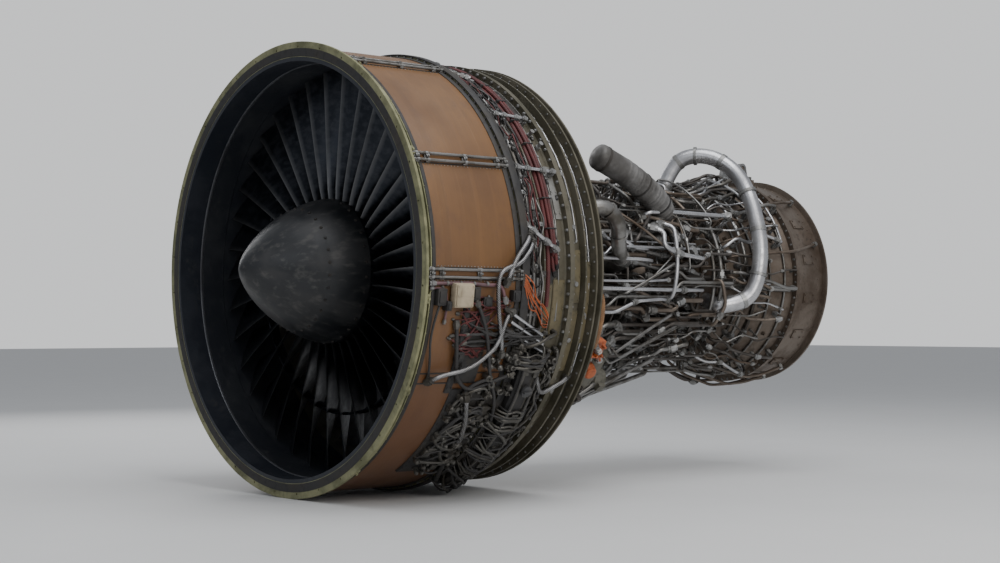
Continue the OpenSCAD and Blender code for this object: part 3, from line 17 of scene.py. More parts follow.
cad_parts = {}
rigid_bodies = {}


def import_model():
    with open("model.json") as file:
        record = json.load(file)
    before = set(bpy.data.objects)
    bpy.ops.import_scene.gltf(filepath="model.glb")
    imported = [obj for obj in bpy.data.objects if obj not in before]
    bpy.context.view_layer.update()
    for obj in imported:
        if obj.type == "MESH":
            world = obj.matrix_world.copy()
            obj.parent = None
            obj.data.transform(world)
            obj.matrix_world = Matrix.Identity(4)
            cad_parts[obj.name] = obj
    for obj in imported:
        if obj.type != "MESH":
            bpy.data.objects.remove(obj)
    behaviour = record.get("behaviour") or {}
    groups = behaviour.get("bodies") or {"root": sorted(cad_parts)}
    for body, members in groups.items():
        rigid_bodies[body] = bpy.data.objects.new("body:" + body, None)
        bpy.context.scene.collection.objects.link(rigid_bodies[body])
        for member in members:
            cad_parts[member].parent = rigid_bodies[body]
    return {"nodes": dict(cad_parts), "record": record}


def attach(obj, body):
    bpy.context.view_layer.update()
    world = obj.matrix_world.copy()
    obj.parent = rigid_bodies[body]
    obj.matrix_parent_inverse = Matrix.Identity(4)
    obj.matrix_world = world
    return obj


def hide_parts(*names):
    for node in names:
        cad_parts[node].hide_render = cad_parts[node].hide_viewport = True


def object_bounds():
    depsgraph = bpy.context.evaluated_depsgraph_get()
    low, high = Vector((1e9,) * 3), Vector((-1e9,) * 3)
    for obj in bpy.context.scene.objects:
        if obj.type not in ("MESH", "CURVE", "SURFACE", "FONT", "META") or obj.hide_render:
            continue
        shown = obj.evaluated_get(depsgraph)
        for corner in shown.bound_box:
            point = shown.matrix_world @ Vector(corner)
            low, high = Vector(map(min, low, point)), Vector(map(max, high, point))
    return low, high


for leftover in list(bpy.data.objects):
    bpy.data.objects.remove(leftover)
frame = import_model()
cad_box = [list(corner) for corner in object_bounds()]
print("box of the frame:", cad_box)

# %% [markdown]
# ## Places on an engine
# Engine makers name a place by its station along the shaft, its clock angle and its radius. The same three
# numbers are used here, with the clock angle counted from the top towards the left side.

# %% Stations, clock angles and radii


def at(x, clock, r):
    """The point at a station, a clock angle in degrees and a radius."""
    a = math.radians(clock)
    return Vector((x, -r * math.sin(a), r * math.cos(a)))


def shift(x=0.0, y=0.0, z=0.0):
    """A move along a part's own directions."""
    return Matrix.Translation((x, y, z))


def rotate(degrees, letter):
    """A turn about one of a part's own axes."""
    return Matrix.Rotation(math.radians(degrees), 4, letter)


def place(x, clock, r, facing="out"):
    """A matrix whose local Z points out of the engine, aft or forward, and whose origin is that place."""
    tilt = {"out": 0.0, "aft": 90.0, "forward": -90.0}[facing]
    return rotate(clock, "X") @ shift(x, 0, r) @ rotate(tilt, "Y")


CORE_OUTSIDE = [(1.48, 0.419), (2.33, 0.374), (2.44, 0.454), (2.80, 0.454), (2.801, 0.484), (3.06, 0.484),
                (3.64, 0.674), (3.95, 0.674)]


def core_r(x):
    """Outer radius of the core's cases at a station."""
    for (x0, r0), (x1, r1) in zip(CORE_OUTSIDE, CORE_OUTSIDE[1:]):
        if x <= x1:
            return r0 + (r1 - r0) * max(0.0, (x - x0) / (x1 - x0))
    return CORE_OUTSIDE[-1][1]


print("a point on the left of the fan case:", at(0.0, 90, 1.3))

# %% [markdown]
# ## Camera
# The camera stands low, ahead and to the left, and looks along the engine, so the round inlet shows as a
# narrow ellipse. It is aimed at a point inside the engine, which is easier to change than three angles.

# %% Camera
EYE = Vector((-5.534, -8.391, -0.314))
TARGET = Vector((1.60, 0.0, -0.04))
camera = bpy.data.objects.new("camera", bpy.data.cameras.new("camera"))
bpy.context.scene.collection.objects.link(camera)
camera.location = EYE
camera.rotation_euler = (TARGET - EYE).to_track_quat("-Z", "Y").to_euler()
camera.data.sensor_width = 36.0
camera.data.lens = 63.0
bpy.context.scene.camera = camera
print("distance to the engine:", round((TARGET - EYE).length, 2))

# %% [markdown]
# ## Shader maths
# A worn surface takes dozens of Math nodes, which are slow to add by hand and hard to read. One small class
# wraps a number that changes over a surface, so that an expression such as clouds * 0.5 + 0.1 adds its own
# nodes. A second class holds a material, and adds any other node through one method.

# %% Shader maths as Python expressions


class Value:
    """A number, colour or vector that changes over a surface. Operators on a number add Math nodes."""

    def __init__(self, finish, socket):
        self.finish, self.socket = finish, socket

    def math(self, operation, other=None, swap=False):
        values = [self] if other is None else [other, self] if swap else [self, other]
        return self.finish.node("ShaderNodeMath", {"operation": operation}, dict(enumerate(values)))

    def __add__(self, other):
        return self.math("ADD", other)

    def __mul__(self, other):
        return self.math("MULTIPLY", other)

    def __sub__(self, other):
        return self.math("SUBTRACT", other)

    def __rsub__(self, other):
        return self.math("SUBTRACT", other, swap=True)

    def __pow__(self, other):
        return self.math("POWER", other)

    __radd__ = __add__
    __rmul__ = __mul__

    def between(self, low, high):
        """0 below low, 1 above high, and smooth in between."""
        return self.finish.node("ShaderNodeMapRange", {"interpolation_type": "SMOOTHSTEP"},
                                {"Value": self, "From Min": low, "From Max": high})


class Finish:
    """A material with a Principled shader, and the nodes that feed it."""

    def __init__(self, name, rough=0.5, metal=0.0, **fixed):
        self.material = bpy.data.materials.new(name)
        self.material.use_nodes = True
        self.tree = self.material.node_tree
        self.shader = self.tree.nodes["Principled BSDF"]
        self.feed(Roughness=rough, Metallic=metal, **fixed)

    def put(self, socket, value):
        """Links a Value to a socket, or sets a plain number, vector or colour on it."""
        if isinstance(value, Value):
            self.tree.links.new(value.socket, socket)
        elif socket.type == "RGBA":
            socket.default_value = (*value, 1.0)
        else:
            socket.default_value = value

    def node(self, kind, settings=None, inputs=None, output=0):
        """Adds a node, with its settings first and then the values or links of its sockets."""
        made = self.tree.nodes.new(kind)
        for key, value in (settings or {}).items():
            setattr(made, key, value)
        for key, value in (inputs or {}).items():
            self.put(made.inputs[key], value)
        return Value(self, made.outputs[output])

    def feed(self, **sockets):
        """Sets or links the shader's own sockets; an underscore stands for a space."""
        for name, value in sockets.items():
            self.put(self.shader.inputs[name.replace("_", " ")], value)

    def spot(self, scale=(1.0, 1.0, 1.0), turn=(0.0, 0.0, 0.0)):
        """Object coordinates, stretched by a Mapping node."""
        where = self.node("ShaderNodeTexCoord", output="Object")
        return self.node("ShaderNodeMapping", None, {"Vector": where, "Scale": scale, "Rotation": turn})

    def noise(self, scale, detail=3.0, stretch=(1.0, 1.0, 1.0), rough=0.55):
        """Soft clouds, squeezed along the directions whose stretch is above 1."""
        return self.node("ShaderNodeTexNoise", None, {"Vector": self.spot(stretch), "Scale": scale,
                                                      "Detail": detail, "Roughness": rough})

    def cells(self, scale):
        """The distance to the nearest of many scattered points."""
        return self.node("ShaderNodeTexVoronoi", None, {"Vector": self.spot(), "Scale": scale},
                         output="Distance")

    def axis(self, letter):
        """One object coordinate: X along the shaft, Y across or Z up."""
        where = self.node("ShaderNodeTexCoord", output="Object")
        return self.node("ShaderNodeSeparateXYZ", None, {"Vector": where}, output=letter)

    def painted(self, name):
        """A number that is stored on the mesh's points."""
        return self.node("ShaderNodeAttribute", {"attribute_name": name}, output="Fac")

    def mix(self, factor, low, high):
        """A colour between two colours."""
        return self.node("ShaderNodeMix", {"data_type": "RGBA"}, {0: factor, 6: low, 7: high}, output=2)

    def bump(self, height, strength, distance):
        """Relief in the surface, its depth in metres."""
        self.feed(Normal=self.node("ShaderNodeBump", None,
                                   {"Height": height, "Strength": strength, "Distance": distance}))


print("shader helpers are ready")

# %% [markdown]
# ## Floor and light
# The floor is plain and pale, and soft lamps stand round it, as in a studio. The world is one colour to the
# camera and a dimmer one as light, so the background stays pale and the metal keeps its depth.

# %% Floor, world and lamps
FLOOR_Z = cad_box[0][2]
floor_mesh = bmesh.new()
bmesh.ops.create_grid(floor_mesh, x_segments=2, y_segments=2, size=60.0, matrix=shift(1.8, 0, FLOOR_Z))
floor_data = bpy.data.meshes.new("floor")
floor_mesh.to_mesh(floor_data)
floor_mesh.free()
floor = bpy.data.objects.new("floor", floor_data)
bpy.context.scene.collection.objects.link(floor)
floor_paint = Finish("floor_paint", rough=0.75)
floor_paint.feed(Base_Color=floor_paint.mix(floor_paint.noise(1.4), (0.60, 0.60, 0.595), (0.64, 0.64, 0.635)))
floor_data.materials.append(floor_paint.material)

world = bpy.data.worlds.new("studio")
bpy.context.scene.world = world
world.use_nodes = True
nodes, links = world.node_tree.nodes, world.node_tree.links
nodes["Background"].inputs["Color"].default_value = (0.80, 0.83, 0.88, 1.0)
nodes["Background"].inputs["Strength"].default_value = 0.55
pale = nodes.new("ShaderNodeBackground")
pale.inputs["Color"].default_value = (0.86, 0.87, 0.88, 1.0)
seen = nodes.new("ShaderNodeLightPath")
either = nodes.new("ShaderNodeMixShader")
links.new(seen.outputs["Is Camera Ray"], either.inputs[0])
links.new(nodes["Background"].outputs[0], either.inputs[1])
links.new(pale.outputs[0], either.inputs[2])
links.new(either.outputs[0], nodes["World Output"].inputs["Surface"])


def lamp(name, where, towards, size, watts, colour=(1.0, 1.0, 1.0)):
    """A soft square lamp."""
    data = bpy.data.lights.new(name, "AREA")
    data.size, data.energy, data.color = size, watts, colour
    made = bpy.data.objects.new(name, data)
    bpy.context.scene.collection.objects.link(made)
    made.location = where
    made.rotation_euler = (Vector(towards) - Vector(where)).to_track_quat("-Z", "Y").to_euler()


lamp("sky", (1.5, -3.0, 7.5), (1.6, 0.0, 0.0), 7.0, 520.0, (0.97, 0.98, 1.0))
lamp("left_side", (0.5, -8.5, 3.0), (1.8, 0.0, 0.0), 5.0, 300.0, (1.0, 0.97, 0.93))
lamp("inlet", (-6.0, -5.0, 3.5), (0.2, 0.0, 0.0), 4.0, 45.0, (0.93, 0.96, 1.0))
lamp("far_side", (3.0, 8.0, 4.0), (1.8, 0.0, 0.0), 5.0, 260.0)
print("floor at", round(FLOOR_Z, 3))

# %% [markdown]
# ## Finishes
# A used engine has few clean surfaces. Castings are olive with primer and oil, hot parts are brown and grey
# from heat, and stainless pipes keep a dull shine. Most metals here share one recipe: a base colour, a
# second colour that comes through in patches, dirt in fine specks, and a roughness that follows both.

# %% The metals' shared recipe


def alloy(name, base, patina, dirt, rough=0.4, metal=0.8, patch=2.4, relief=0.0006, dirty=0.45):
    """A metal with patches of patina, specks of dirt and a little relief."""
    made = Finish(name, rough, metal)
    patches = made.noise(patch, 6.0, rough=0.62).between(0.42, 0.64)
    specks = made.noise(34.0, 4.0).between(0.48, 0.72)
    stains = made.noise(7.0, 5.0, (1.0, 1.0, 0.35)).between(0.40, 0.75)
    made.feed(
        Base_Color=made.mix(specks * stains * dirty * 1.6, made.mix(patches, base, patina), dirt),
        Roughness=(rough + patches * 0.14 + specks * 0.12).math("MINIMUM", 1.0),
        Metallic=(metal - stains * metal * 0.35).math("MAXIMUM", 0.0))
    made.bump(specks + patches * 0.6, 0.35, relief)
    return made


# Each row is name, base, patina, dirt, roughness, metallic, then the size of the patches, the relief and the
# share of dirt where they differ from the recipe's own.
ALLOYS = [
    ("chromate_alloy", (0.24, 0.235, 0.125), (0.13, 0.13, 0.065), (0.04, 0.04, 0.025), 0.52, 0.2, 5.0),
    ("case_alloy", (0.120, 0.108, 0.078), (0.062, 0.056, 0.036), (0.020, 0.017, 0.012), 0.48, 0.45, 3.2),
    ("vane_alloy", (0.16, 0.165, 0.18), (0.09, 0.09, 0.10), (0.04, 0.04, 0.04), 0.42, 0.7),
    ("steel", (0.29, 0.29, 0.285), (0.16, 0.155, 0.145), (0.05, 0.045, 0.04), 0.36, 0.85, 6.0),
    ("hot_alloy", (0.165, 0.135, 0.110), (0.095, 0.070, 0.052), (0.030, 0.024, 0.019), 0.42, 0.8, 3.0),
    ("core_alloy", (0.100, 0.090, 0.082), (0.052, 0.045, 0.039), (0.018, 0.015, 0.013), 0.42, 0.75, 4.0),
    ("gearbox_alloy", (0.150, 0.142, 0.115), (0.080, 0.074, 0.055), (0.025, 0.022, 0.018), 0.5, 0.5, 4.0),
    ("tube_steel", (0.24, 0.235, 0.225), (0.105, 0.095, 0.082), (0.035, 0.030, 0.026), 0.32, 0.9, 5.0),
    ("bright_tube", (0.52, 0.52, 0.53), (0.34, 0.34, 0.35),
     (0.11, 0.10, 0.095), 0.27, 0.95, 4.0, 0.0004, 0.3),
    ("box_paint", (0.23, 0.23, 0.22), (0.17, 0.165, 0.15), (0.06, 0.055, 0.05), 0.45, 0.1, 5.0),
    ("orange_primer", (0.44, 0.105, 0.028), (0.24, 0.055, 0.018), (0.04, 0.020, 0.012), 0.46, 0.0, 8.0),
    ("dark_paint", (0.020, 0.019, 0.019), (0.036, 0.031, 0.026), (0.010, 0.009, 0.008), 0.58, 0.1, 6.0),
    # dark_liner and rub_coating are dark in their own right and are made near-black as painted shade for the
    # inside of the inlet.
    ("dark_liner", (0.009, 0.012, 0.019), (0.015, 0.018, 0.026), (0.035, 0.035, 0.035), 0.5, 0.0, 3.0),
    ("rub_coating", (0.010, 0.012, 0.017), (0.020, 0.022, 0.026), (0.045, 0.045, 0.045), 0.55, 0.0, 3.0),
    ("khaki_paint", (0.120, 0.098, 0.052), (0.070, 0.060, 0.034), (0.025, 0.020, 0.013), 0.55, 0.0, 5.0),
    ("mauve_paint", (0.150, 0.075, 0.082), (0.09, 0.050, 0.055), (0.03, 0.022, 0.022), 0.5, 0.0, 8.0),
    ("cream_paint", (0.40, 0.33, 0.23), (0.28, 0.23, 0.155), (0.08, 0.06, 0.045), 0.5, 0.0, 8.0),
    # The next row is a darker copy of tube_steel for the lines, valves, canisters and straps low on the case:
    # painted shade.
    ("shaded_tube", (0.105, 0.100, 0.090), (0.050, 0.044, 0.036), (0.020, 0.017, 0.014), 0.36, 0.75, 6.0),
    ("cap_plastic", (0.03, 0.03, 0.033), (0.05, 0.05, 0.05), (0.10, 0.09, 0.08), 0.4, 0.0, 20.0),
]
FINISHES = {row[0]: alloy(*row) for row in ALLOYS}
print(len(FINISHES), "metals and paints")

# %% [markdown]
# The containment case is wound with fibre in amber resin. It is glossy, golden brown, with faint bands
# where one turn of the cloth laps the next and cloudy darker patches. The noise is squeezed along the
# shaft, so that its streaks run round the case as the fibres do, and a clear coat gives the shine.

# %% The resin wrap
wrap = Finish("resin_wrap", rough=0.4, metal=0.0, Coat_Roughness=0.16, Coat_IOR=1.5)
clouds = wrap.noise(1.7, 5.0).between(0.34, 0.70)
fibres = wrap.noise(3.2, 4.0, (60.0, 1.0, 1.0)).between(0.35, 0.68)
laps = wrap.noise(1.0, 1.0, (14.0, 0.15, 0.15)).between(0.46, 0.56)
stains = wrap.noise(4.5, 6.0, (1.0, 0.6, 0.6), 0.7).between(0.50, 0.72)
# Painted shade: the wrap turns darker towards its bottom, for the shade on its lower side.
shaded_low_side = wrap.axis("Z").between(0.2, -1.1)
amber = wrap.mix(clouds, (0.165, 0.076, 0.019), (0.108, 0.048, 0.014))
amber = wrap.mix(fibres * 0.25, amber, (0.095, 0.043, 0.017))
amber = wrap.mix(laps * 0.10, amber, (0.23, 0.105, 0.032))
amber = wrap.mix(stains * 0.60, amber, (0.085, 0.040, 0.018))
wrap.feed(Base_Color=wrap.mix(shaded_low_side * 0.7, amber, (0.085, 0.030, 0.010)),
          Roughness=0.46 + clouds * 0.18, Coat_Weight=0.14 - clouds * 0.08)
wrap.bump(laps * 0.8 + fibres * 0.25, 0.35, 0.0012)
FINISHES["resin_wrap"] = wrap
print("resin wrap:", len(wrap.tree.nodes), "nodes")

# %% [markdown]
# The fan is titanium, polished by the air, and its colour is painted near-black for the shade of the inlet.
# Its front edges are scoured brighter. That wear follows the blade's own chord, so it is a number stored on
# the mesh, and the shader reads it.

# %% Fan and spinner finishes
titanium = Finish("titanium", rough=0.34, metal=0.85)
scour = titanium.noise(9.0, 5.0, (1.0, 3.0, 3.0)).between(0.38, 0.68)
worn_edge = titanium.painted("worn_edge")
# Painted shade: these base colours are near-black, far darker than titanium, for the shade inside the inlet.
blue_grey = titanium.mix(scour, (0.018, 0.021, 0.027), (0.038, 0.041, 0.049))
titanium.feed(Base_Color=titanium.mix(worn_edge * 0.5, blue_grey, (0.22, 0.22, 0.22)),
              Roughness=0.30 + scour * 0.16)
titanium.bump(scour, 0.2, 0.0006)
FINISHES["titanium"] = titanium

spinner_paint = Finish("spinner_paint", rough=0.5, metal=0.25, Coat_Roughness=0.3)
smears = spinner_paint.noise(3.0, 6.0, (1.0, 2.2, 2.2)).between(0.40, 0.66)
rain_marks = spinner_paint.noise(26.0, 4.0, (0.25, 1.0, 1.0)).between(0.50, 0.74)
ground_coat = spinner_paint.mix(smears, (0.010, 0.0115, 0.014), (0.030, 0.030, 0.031))
spinner_paint.feed(Base_Color=spinner_paint.mix(rain_marks * 0.45, ground_coat, (0.10, 0.096, 0.088)),
                   Roughness=0.42 + smears * 0.2, Coat_Weight=0.25)
spinner_paint.bump(rain_marks, 0.25, 0.0008)
FINISHES["spinner_paint"] = spinner_paint
print("titanium and spinner:", len(titanium.tree.nodes) + len(spinner_paint.tree.nodes), "nodes")

# %% [markdown]
# Two soft coverings remain. The hot duct wears a quilted foil blanket, and the wiring runs in a braided
# sleeve. Both are fine relief on a plain colour: cells for the quilting, and two crossed waves for the
# braid.

# %% Blanket and braid
lagging = Finish("lagging", rough=0.5, metal=0.35)
quilts = lagging.cells(26.0)
grime = lagging.noise(6.0, 5.0).between(0.35, 0.68)
lagging.feed(Base_Color=lagging.mix(grime, (0.170, 0.165, 0.160), (0.072, 0.067, 0.062)),
             Roughness=0.42 + quilts * 0.4)
lagging.bump(quilts, 0.6, 0.004)
FINISHES["lagging"] = lagging


def braid(name, light, dark, rough, metal, scale=42.0):
    """A braided sleeve: two crossed sets of fine waves."""
    made = Finish(name, rough, metal)
    sets = []
    for way in ("X", "Z"):
        slanted = made.spot((1.0, 1.0, 1.0), (0.6, 0.5, 0.4))
        sets.append(made.node("ShaderNodeTexWave", {"wave_type": "BANDS", "bands_direction": way},
                              {"Vector": slanted, "Scale": scale, "Distortion": 0.6}, output="Fac"))
    weave = (sets[0] * sets[1]) ** 0.5
    wear = made.noise(12.0, 4.0).between(0.4, 0.7)
    made.feed(Base_Color=made.mix((weave * 0.7 + wear * 0.3).between(0.2, 0.8), dark, light))
    made.bump(weave, 0.5, 0.0015)
    return made


FINISHES["harness_sleeve"] = braid("harness_sleeve", (0.150, 0.024, 0.022), (0.045, 0.010, 0.010), 0.6, 0.0)
FINISHES["hose_braid"] = braid("hose_braid", (0.42, 0.42, 0.43), (0.11, 0.105, 0.10), 0.34, 0.9)
FINISHES["black_sleeve"] = braid("black_sleeve", (0.045, 0.042, 0.04), (0.015, 0.014, 0.014), 0.6, 0.0)
FINISHES["tan_sleeve"] = braid("tan_sleeve", (0.36, 0.18, 0.062), (0.17, 0.08, 0.03), 0.6, 0.0)

for part in frame["record"]["subparts"]:
    for held in frame["nodes"][part["node"]].material_slots:
        held.material = FINISHES[part["material_slot"]].material
for held in frame["nodes"]["fan_case_pipes"].material_slots:
    held.material = FINISHES["tube_steel"].material
print(len(FINISHES), "finishes, on", len(frame["nodes"]), "nodes")

# %% [markdown]
# ## Making pieces
# Every new piece starts in a bmesh. Small parts such as bolts are shaped once, each in a bmesh of its own,
# and stamped where they are needed: an operator looks at its whole bmesh, so it is slow on a large one.
# When a piece is done, one helper merges doubles, turns the faces outwards, keeps sharp edges sharp, and
# hands the piece to the body that it moves with.

# %% From bmesh to a piece
made_triangles = {}
shapes = {}


def piece(bm, name, body, slot, finish=None, sharp=36.0):
    """Closes a bmesh into a piece that rides on a body and wears a finish."""
    bmesh.ops.remove_doubles(bm, verts=bm.verts, dist=1e-6)
    bmesh.ops.recalc_face_normals(bm, faces=bm.faces)
    limit = math.radians(sharp)
    for face in bm.faces:
        face.smooth = True
    for edge in bm.edges:
        edge.smooth = len(edge.link_faces) == 2 and edge.calc_face_angle(0.0) < limit
    open_edges = sum(len(edge.link_faces) != 2 for edge in bm.edges)
    mesh = bpy.data.meshes.new(name)
    bm.to_mesh(mesh)
    bm.free()
    mesh.materials.append(FINISHES[finish or slot].material)
    made = bpy.data.objects.new(name, mesh)
    bpy.context.scene.collection.objects.link(made)
    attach(made, body)
    made_triangles[name] = sum(len(p.vertices) - 2 for p in mesh.polygons)
    print(f"{name}: {made_triangles[name]} triangles on {body}, {open_edges} open edges")
    return made


def stamp(bm, key, matrix, shape):
    """Adds a copy of a small shape at a place. The shape is built once for each key."""
    if key not in shapes:
        small = bmesh.new()
        shape(small)
        shapes[key] = bpy.data.meshes.new("shape")
        small.to_mesh(shapes[key])
        small.free()
    copy = shapes[key].copy()
    copy.transform(matrix)
    bm.from_mesh(copy)
    bpy.data.meshes.remove(copy)


print("pieces can be made and stamped")

# %% [markdown]
# Most parts of an engine are turned on a lathe or bent round it, so an outline is spun about an axis, all
# the way or between two clock angles. Blocks and bolts start from a cube and a cone.

# %% Turned, swept and boxed shapes


def spin_profile(bm, profile, steps=192, closed=True):
    """Spins a profile of (station, radius) points all the way round the shaft."""
    points = [bm.verts.new((x, 0.0, r)) for x, r in profile]
    pairs = list(zip(points, points[1:] + points[:1])) if closed else list(zip(points, points[1:]))
    lines = [bm.edges.new(pair) for pair in pairs]
    bmesh.ops.spin(bm, geom=points + lines, axis=(1, 0, 0), cent=(0, 0, 0), angle=2 * math.pi, steps=steps,
                   use_merge=True, use_duplicate=False)


def sweep_profile(bm, profile, start, end, steps=24):
    """Sweeps a closed profile of (station, radius) points between two clock angles, as a solid."""

    def swept(small):
        cap = small.faces.new([small.verts.new((x, 0.0, r)) for x, r in profile])
        bmesh.ops.spin(small, geom=[cap], axis=(1, 0, 0), cent=(0, 0, 0), angle=math.radians(end - start),
                       steps=steps, use_merge=False, use_duplicate=False)
    stamp(bm, ("sweep", tuple(profile), round(end - start, 3), steps),
          rotate(start, "X"), swept)


def block(bm, matrix, size, bevel=0.003):
    """A box of three sizes with rounded edges, its foot at the matrix's origin."""

    def cube(small):
        at_foot = shift(z=size[2] / 2) @ Matrix.Diagonal((*size, 1.0))
        bmesh.ops.create_cube(small, size=1.0, matrix=at_foot)
        if bevel:
            bmesh.ops.bevel(small, geom=small.edges[:], offset=bevel, segments=2, profile=0.5, affect="EDGES",
                            material=-1)
    stamp(bm, ("block", *(round(side, 5) for side in size), bevel), matrix, cube)


def barrel(bm, matrix, profile, sides=24):
    """A turned part about the matrix's Z from (height, radius) points, closed on its axis at both ends."""

    def turned(small):
        outline = [(profile[0][0], 0.0), *profile, (profile[-1][0], 0.0)]
        points = [small.verts.new((r, 0.0, z)) for z, r in outline]
        lines = [small.edges.new(pair) for pair in zip(points, points[1:])]
        bmesh.ops.spin(small, geom=points + lines, axis=(0, 0, 1), cent=(0, 0, 0), angle=2 * math.pi,
                       steps=sides, use_merge=True, use_duplicate=False)
        bmesh.ops.remove_doubles(small, verts=small.verts, dist=1e-6)
    stamp(bm, ("barrel", tuple(profile), sides), matrix, turned)


def stepped(*steps):
    """An outline for barrel, from (radius, height) steps: each step is level up to its height."""
    outline = []
    low = 0.0
    for radius, height in steps:
        outline += [(low, radius), (height, radius)]
        low = height
    return outline


def hexagon_head(small):
    """A hexagon head of unit size and height on a washer, for the bolts."""
    bmesh.ops.create_cone(small, cap_ends=True, segments=10, radius1=1.25, radius2=1.2, depth=0.24,
                          matrix=shift(z=0.12))
    bmesh.ops.create_cone(small, cap_ends=True, segments=6, radius1=1.0, radius2=0.94, depth=1.0,
                          matrix=shift(z=0.74))


def bolt(bm, matrix, size=0.008, height=0.008):
    """A hexagon head on a washer, standing on the matrix's origin."""
    stamp(bm, "bolt", matrix @ Matrix.Diagonal((size, size, height, 1.0)), hexagon_head)


def bolt_circle(bm, x, r, count, size, facing, start=0.5, height=None):
    """A ring of bolts at a station and a radius."""
    for i in range(count):
        bolt(bm, place(x, (i + start) * 360.0 / count, r, facing), size, height or size)


print("piece helpers are ready")

# %% [markdown]
# ## Spinner
# The spinner is a dome of painted composite in two parts, with a ring of bolts near its rear edge. It could
# be a scaled sphere, but its nose is sharper than that. A profile is spun round the shaft instead, outside
# and inside in one outline, so the shell has its real thickness.

# %% Spinner
NOSE_X, HUB_X, HUB_R = -0.310, 0.290, 0.420
SPINNER_WALL = 0.010
SEAM_X, SEAM_DEPTH = 0.038, 0.0025


def spinner_r(x):
    """Outer radius of the spinner: round at the nose and nearly level where it meets the blades."""
    t = max(0.0, min(1.0, (x - NOSE_X) / (HUB_X - NOSE_X)))
    return HUB_R * (1 - (1 - t) ** 1.6) ** 0.75


bm = bmesh.new()
stations = [NOSE_X + (HUB_X - NOSE_X) * (i / 40) ** 1.7 for i in range(41)]
outside = [(x, spinner_r(x) - (SEAM_DEPTH if abs(x - SEAM_X) < 0.004 else 0.0)) for x in stations]
rear_lip = [(HUB_X, HUB_R - 0.06), (HUB_X - 0.012, HUB_R - 0.06)]
inside = [(x + SPINNER_WALL, spinner_r(x) - SPINNER_WALL)
          for x in reversed(stations[:-2]) if spinner_r(x) > SPINNER_WALL]
spin_profile(bm, outside + rear_lip + inside + [(NOSE_X + SPINNER_WALL, 0.0)], closed=False)
spinner = piece(bm, "spinner", "fan_rotor", "spinner_paint")
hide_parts("spinner_nose", "spinner_rear")

bm = bmesh.new()
for x in (0.262, 0.060):
    slope = math.degrees(math.atan2(spinner_r(x + 0.005) - spinner_r(x - 0.005), 0.01))
    for i in range(30):
        bolt(bm, place(x, i * 360 / 30, spinner_r(x) - 0.001) @ rotate(-slope, "Y"), 0.0085, 0.006)
piece(bm, "spinner_bolts", "fan_rotor", "dark_paint")

# %% [markdown]
# ## Fan blades
# A fan blade stands on a dovetail root that slides into the disk, and twists from nearly axial at its
# platform to nearly flat at its tip. Two thirds of the way up, a part-span shroud braces it against its
# neighbours. One section is extruded from the root to the tip, and each new ring is moved to its own twist,
# bow and thickness.

# %% One fan blade
BLADES = 38
TIP_R, FAN_MID_X = 1.181, 0.415
SHROUD_R = 0.823
PITCH = math.radians(360 / BLADES)
SPAN_STEPS, SIDE_STEPS = 12, 9


def blade_point(s, share, side):
    """A point of the airfoil: s from root to tip, share from front to rear edge, side 1 or -1."""
    twist = math.radians(7 + 53 * s ** 0.75)
    chord = (0.226 + (0.150 - 0.226) * s) / math.cos(twist)
    bow = (0.008 + 0.026 * s * (1 - s)) * math.sin(math.pi * share)
    half = (0.011 - 0.007 * s) * (1.75 * math.sqrt(share) * (1 - share) + 0.06)
    along, across = (share - 0.5) * chord, bow + side * half
    r = HUB_R - 0.006 + (TIP_R - HUB_R + 0.006) * s
    x = FAN_MID_X + along * math.cos(twist) - across * math.sin(twist)
    return at(x, math.degrees((along * math.sin(twist) + across * math.cos(twist)) / r), r)


def section():
    """The (share, side) places round a section, from the front edge over one side and back on the other."""
    shares = [0.5 - 0.5 * math.cos(math.pi * i / SIDE_STEPS) for i in range(SIDE_STEPS + 1)]
    return [(share, 1) for share in shares] + [(share, -1) for share in reversed(shares[1:-1])]


def set_ring(verts, s, wear):
    """Moves a ring of points to its section, and stores how worn the front edge is there."""
    for vert, (share, side) in zip(verts, section()):
        vert.co = blade_point(s, share, side)
        vert[wear] = max(0.0, 1 - share / 0.07)


def add_airfoil(bm, wear):
    """Extrudes one airfoil from its root to its tip."""
    verts = [bm.verts.new() for _ in section()]
    ring_edges = [bm.edges.new(pair) for pair in zip(verts, verts[1:] + verts[:1])]
    bm.faces.new(verts)
    set_ring(verts, 0.0, wear)
    for step in range(1, SPAN_STEPS + 1):
        grown = bmesh.ops.extrude_edge_only(bm, edges=ring_edges)["geom"]
        ring_edges = [part for part in grown if isinstance(part, bmesh.types.BMEdge) and part.is_boundary]
        fresh = [part for part in grown if isinstance(part, bmesh.types.BMVert)]
        partner = {}
        for edge in (e for v in fresh for e in v.link_edges):
            for old, new in (edge.verts, reversed(edge.verts)):
                if old in verts and new in fresh:
                    partner[old] = new
        verts = [partner[old] for old in verts]
        set_ring(verts, step / SPAN_STEPS, wear)
    bm.faces.new(verts)


def add_root(bm):
    """The part-span shroud, and the platform with the dovetail root below it."""
    half = SHROUD_R * math.tan(PITCH / 2) - 0.0003
    block(bm, shift(FAN_MID_X, 0, SHROUD_R), (0.064, 2 * half, 0.014), 0.003)
    low, top = (r * math.tan(PITCH / 2) - 0.0003 for r in (0.404, 0.416))
    left = [(0.404, 0.013), (0.384, 0.013), (0.356, 0.021), (0.342, 0.016)]
    right = [(z, -y) for z, y in reversed(left)]
    root = [(0.404, -low), (0.417, -top), (0.420, 0.0), (0.417, top), (0.404, low)] + left + right
    foot = bm.faces.new([bm.verts.new((HUB_X, -y, z)) for z, y in root])
    grown = bmesh.ops.extrude_face_region(bm, geom=[foot])["geom"]
    bmesh.ops.translate(bm, verts=[part for part in grown if isinstance(part, bmesh.types.BMVert)],
                        vec=(0.25, 0, 0))


print("points round a section:", len(section()))

# %% [markdown]
# The blades are all alike, so one is made and stamped round the hub. They join into one piece, which takes
# the place of the frame's own row and turns with the fan.

